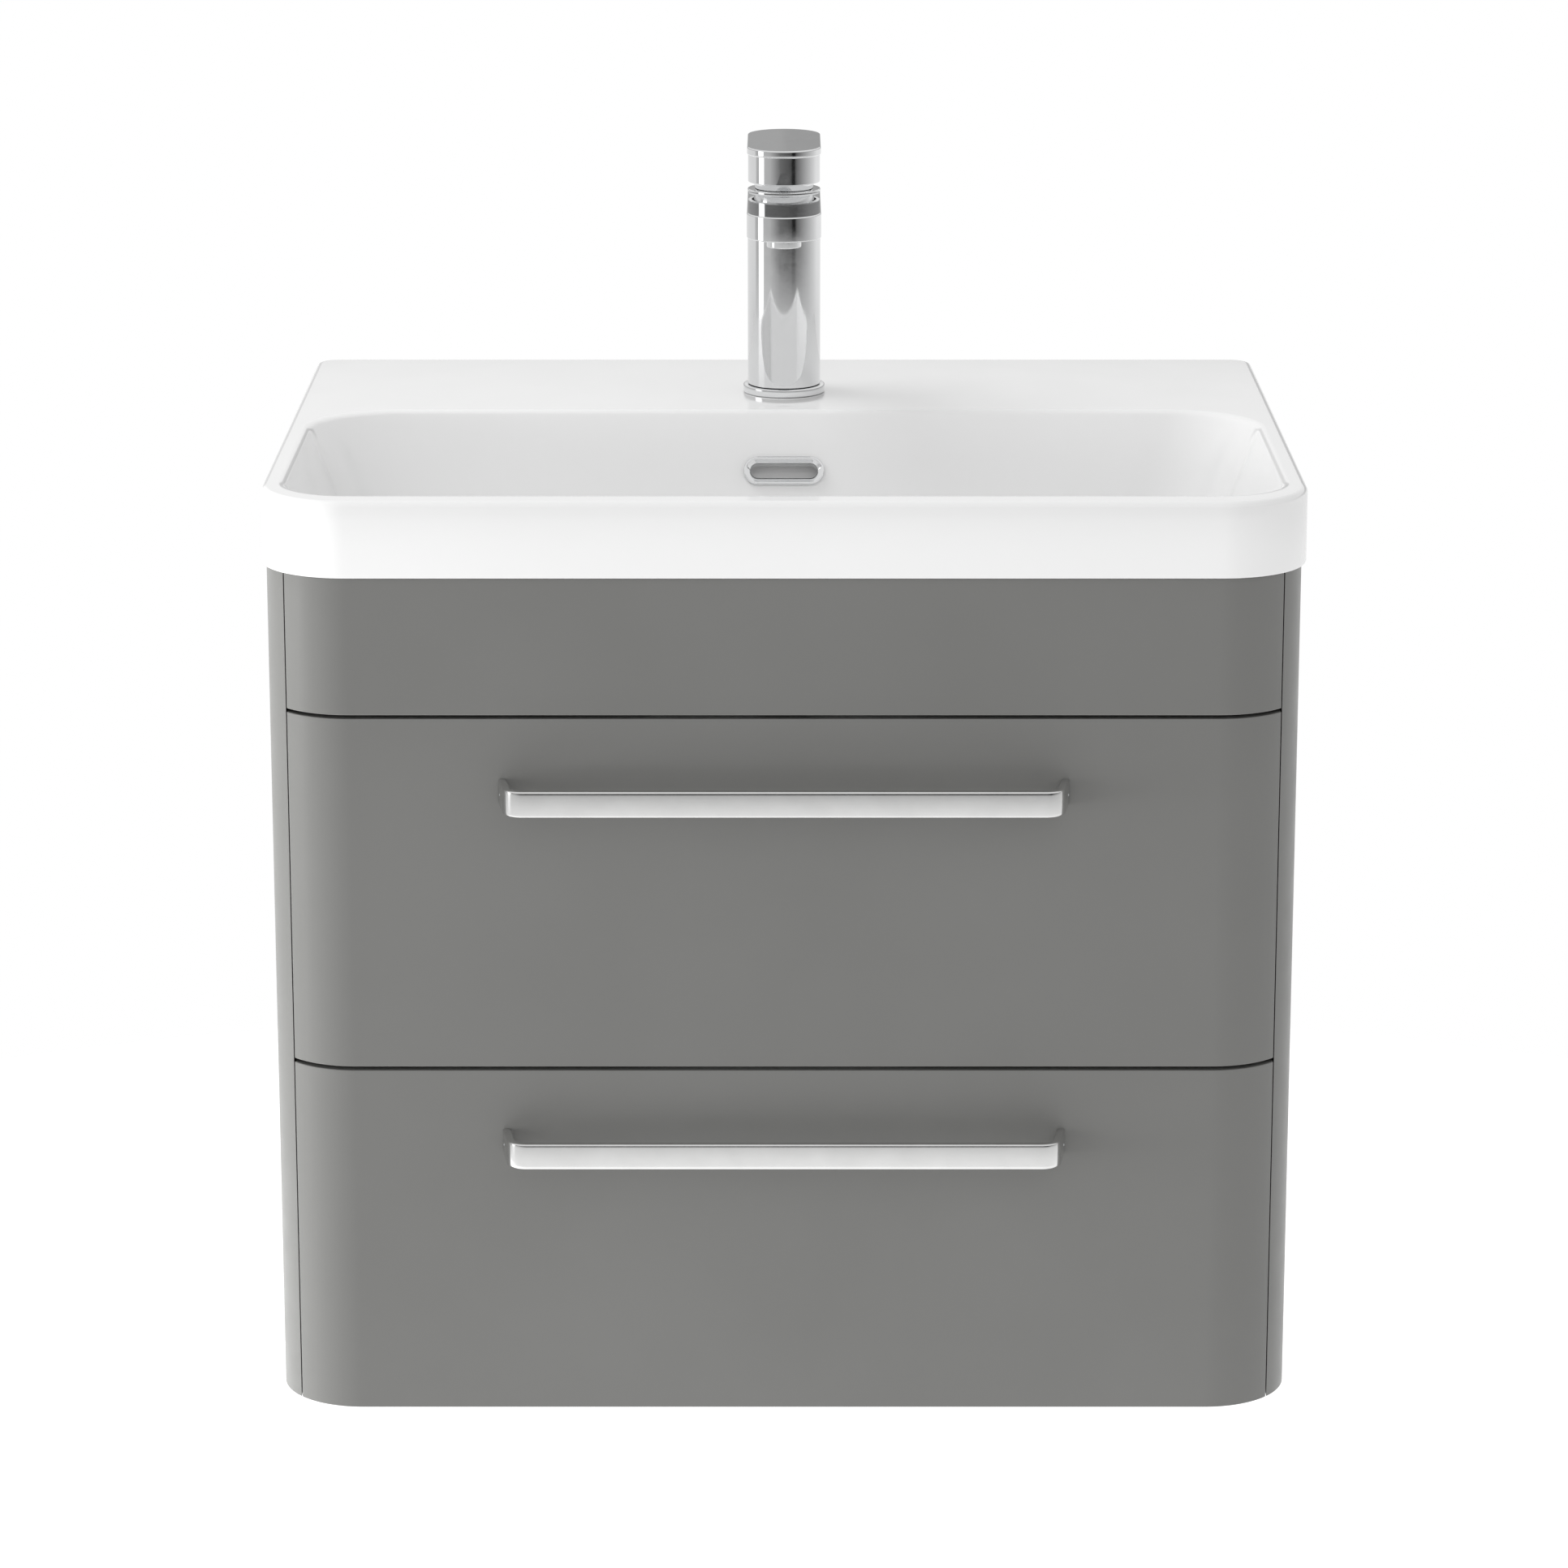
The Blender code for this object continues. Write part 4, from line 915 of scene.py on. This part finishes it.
def make_floor():
    """A pale floor that glows a little, as a white studio sweep does."""
    drop, reach, thick, sides = 0.45, 1.8, 0.02, 96
    top = BASE_Z - drop
    outline = arc((0.0, 0.0), reach, 0, 360 - 360 / sides, sides - 1)
    material = new_material("pale_floor", (0.80, 0.80, 0.80), 0.9)
    shader = material.node_tree.nodes["Principled BSDF"]
    shader.inputs["Emission Color"].default_value = WHITE
    shader.inputs["Emission Strength"].default_value = 0.38
    floor = make_piece("floor", prism(outline, top - thick, top), material)


def math_node(tree, operation, first, second=None):
    node = tree.nodes.new("ShaderNodeMath")
    node.operation = operation
    for socket, value in zip(node.inputs, (first, second)):
        if value is None:
            continue
        if isinstance(value, (int, float)):
            socket.default_value = value
        else:
            tree.links.new(value, socket)
    return node.outputs[0]


def ramp_node(tree, value, stops):
    """A brightness ramp; stops are (position, brightness)."""
    ramp = tree.nodes.new("ShaderNodeValToRGB")
    elements = ramp.color_ramp.elements
    while len(elements) < len(stops):
        elements.new(0.5)
    for element, (position, brightness) in zip(elements, stops):
        element.position = position
        element.color = (brightness, brightness, brightness, 1.0)
    tree.links.new(value, ramp.inputs["Fac"])
    return ramp.outputs["Color"]


def ramp_between(tree, value, first, last):
    """0 below first, 1 above last, and an even rise between them."""
    rise = tree.nodes.new("ShaderNodeMapRange")
    rise.inputs["From Min"].default_value = first
    rise.inputs["From Max"].default_value = last
    tree.links.new(value, rise.inputs["Value"])
    return rise.outputs["Result"]


def mix_node(tree, share, first, second):
    """First where share is 0, second where it is 1; each is a colour or a socket."""
    mix = tree.nodes.new("ShaderNodeMix")
    mix.data_type = "RGBA"
    tree.links.new(share, mix.inputs["Factor"])
    for socket, value in ((mix.inputs["A"], first), (mix.inputs["B"], second)):
        if isinstance(value, tuple):
            socket.default_value = value
        else:
            tree.links.new(value, socket)
    return mix.outputs["Result"]


def make_world():
    """A white studio. What glossy surfaces mirror is the room: softboxes and darker gaps.

    The room is a ramp of brightness around the horizon for each height. Azimuth 0 is straight
    before the cabinet, and negative azimuths are to the left of someone who faces it.
    """
    world = bpy.data.worlds.new("studio")
    bpy.context.scene.world = world
    world.use_nodes = True
    tree = world.node_tree
    background = tree.nodes["Background"]
    coords = tree.nodes.new("ShaderNodeTexCoord")
    split = tree.nodes.new("ShaderNodeSeparateXYZ")
    tree.links.new(coords.outputs["Generated"], split.inputs[0])
    x, y, z = split.outputs
    around = math_node(tree, "ARCTAN2", x, math_node(tree, "MULTIPLY", y, -1.0))
    turn = math_node(tree, "ADD", math_node(tree, "DIVIDE", around, 2 * math.pi), 0.5)

    def at(degrees):
        """An azimuth's place on the ramps."""
        return 0.5 + degrees / 360

    level = ramp_node(tree, turn, [
        (at(-180), 0.85), (at(-104), 0.80), (at(-97), 0.50), (at(-88), 0.50), (at(-85), 2.4),
        (at(-70), 2.4), (at(-67), 0.55), (at(-45), 0.50), (at(-12), 0.16), (at(22), 0.08),
        (at(27), 0.012), (at(34), 0.012), (at(39), 0.12), (at(75), 0.45), (at(125), 0.90),
    ])
    above = ramp_node(tree, turn, [
        (at(-180), 0.40), (at(-110), 0.30), (at(-90), 0.25), (at(-86), 1.8), (at(-68), 1.8),
        (at(-64), 0.16), (at(0), 0.10), (at(40), 0.08), (at(90), 0.22), (at(180), 0.36),
    ])
    below = ramp_node(tree, turn, [
        (at(-180), 0.90), (at(-97), 0.70), (at(-88), 0.75), (at(-84), 1.25), (at(-72), 1.25),
        (at(-68), 0.72), (at(0), 0.66), (at(80), 0.62), (at(130), 0.80), (at(180), 0.90),
    ])
    lift = math_node(tree, "ARCSINE", z)

    def rise(first, last):
        """From 0 to 1 between two elevations in degrees."""
        return ramp_between(tree, lift, math.radians(first), math.radians(last))

    mirrored_room = mix_node(tree, rise(-20.0, -12.0), WHITE, below)
    mirrored_room = mix_node(tree, rise(-10.05, -9.35), mirrored_room, level)
    mirrored_room = mix_node(tree, rise(-3.0, 4.0), mirrored_room, above)
    mirrored_room = mix_node(tree, rise(9.5, 10.6), mirrored_room, (0.85, 0.85, 0.85, 1.0))
    paths = tree.nodes.new("ShaderNodeLightPath")
    fill = (0.70, 0.70, 0.70, 1.0)
    even = mix_node(tree, paths.outputs["Is Glossy Ray"], fill, mirrored_room)
    seen = mix_node(tree, paths.outputs["Is Camera Ray"], even, WHITE)
    tree.links.new(seen, background.inputs["Color"])


def area_light(name, spot, aim, size, power):
    """A softbox that lights the cabinet and isn't seen or mirrored itself."""
    data = bpy.data.lights.new(name, "AREA")
    data.shape = "RECTANGLE"
    data.size, data.size_y = size
    data.energy = power
    light = bpy.data.objects.new(name, data)
    bpy.context.scene.collection.objects.link(light)
    light.location = spot
    light.rotation_euler = (Vector(aim) - Vector(spot)).to_track_quat("-Z", "Y").to_euler()
    light.visible_camera = False
    light.visible_glossy = False
    return light


def make_lights():
    middle = (0.0, -0.25, 0.0)
    area_light("left_softbox", (-2.3, -2.2, -0.2), middle, (2.0, 1.1), 22)
    area_light("side_softbox", (-2.7, -0.4, -0.25), middle, (1.6, 1.0), 68)
    area_light("right_softbox", (2.6, -0.9, 0.4), middle, (1.6, 2.2), 7)
    area_light("front_fill", (0.3, -2.8, 1.5), middle, (2.4, 1.6), 6.5)
    area_light("top_softbox", (-1.5, 0.2, 2.2), middle, (1.6, 1.6), 34)


def make_camera():
    """Looks down on the front from 3 m, with a small part of the photographer's lens shift."""
    distance, height = 3.000, 1.182
    look_down = math.radians(14.08)
    camera_data = bpy.data.cameras.new("camera")
    camera = bpy.data.objects.new("camera", camera_data)
    bpy.context.scene.collection.objects.link(camera)
    camera.location = (0.0, CABINET_FRONT - distance, BASE_Z + height)
    camera.rotation_euler = (math.pi / 2 - look_down, 0.0, 0.0)
    camera_data.lens = 123.6
    camera_data.shift_y = -0.05
    camera_data.sensor_width = 36.0
    camera_data.clip_start = 0.05
    camera_data.clip_end = 50.0
    bpy.context.scene.camera = camera


# ---------------------------------------------------------------- whole scene

bpy.context.scene.view_settings.view_transform = "Standard"
make_camera()
make_world()
make_lights()
make_floor()

dress_inner_nodes()
make_side_panels()
make_fronts()
make_handles()
make_basin()
make_overflow_ring()
make_waste()
make_tap_body()
make_tap_trim()
make_lever()
make_tap_stud()
make_slides()
make_slide_screws()
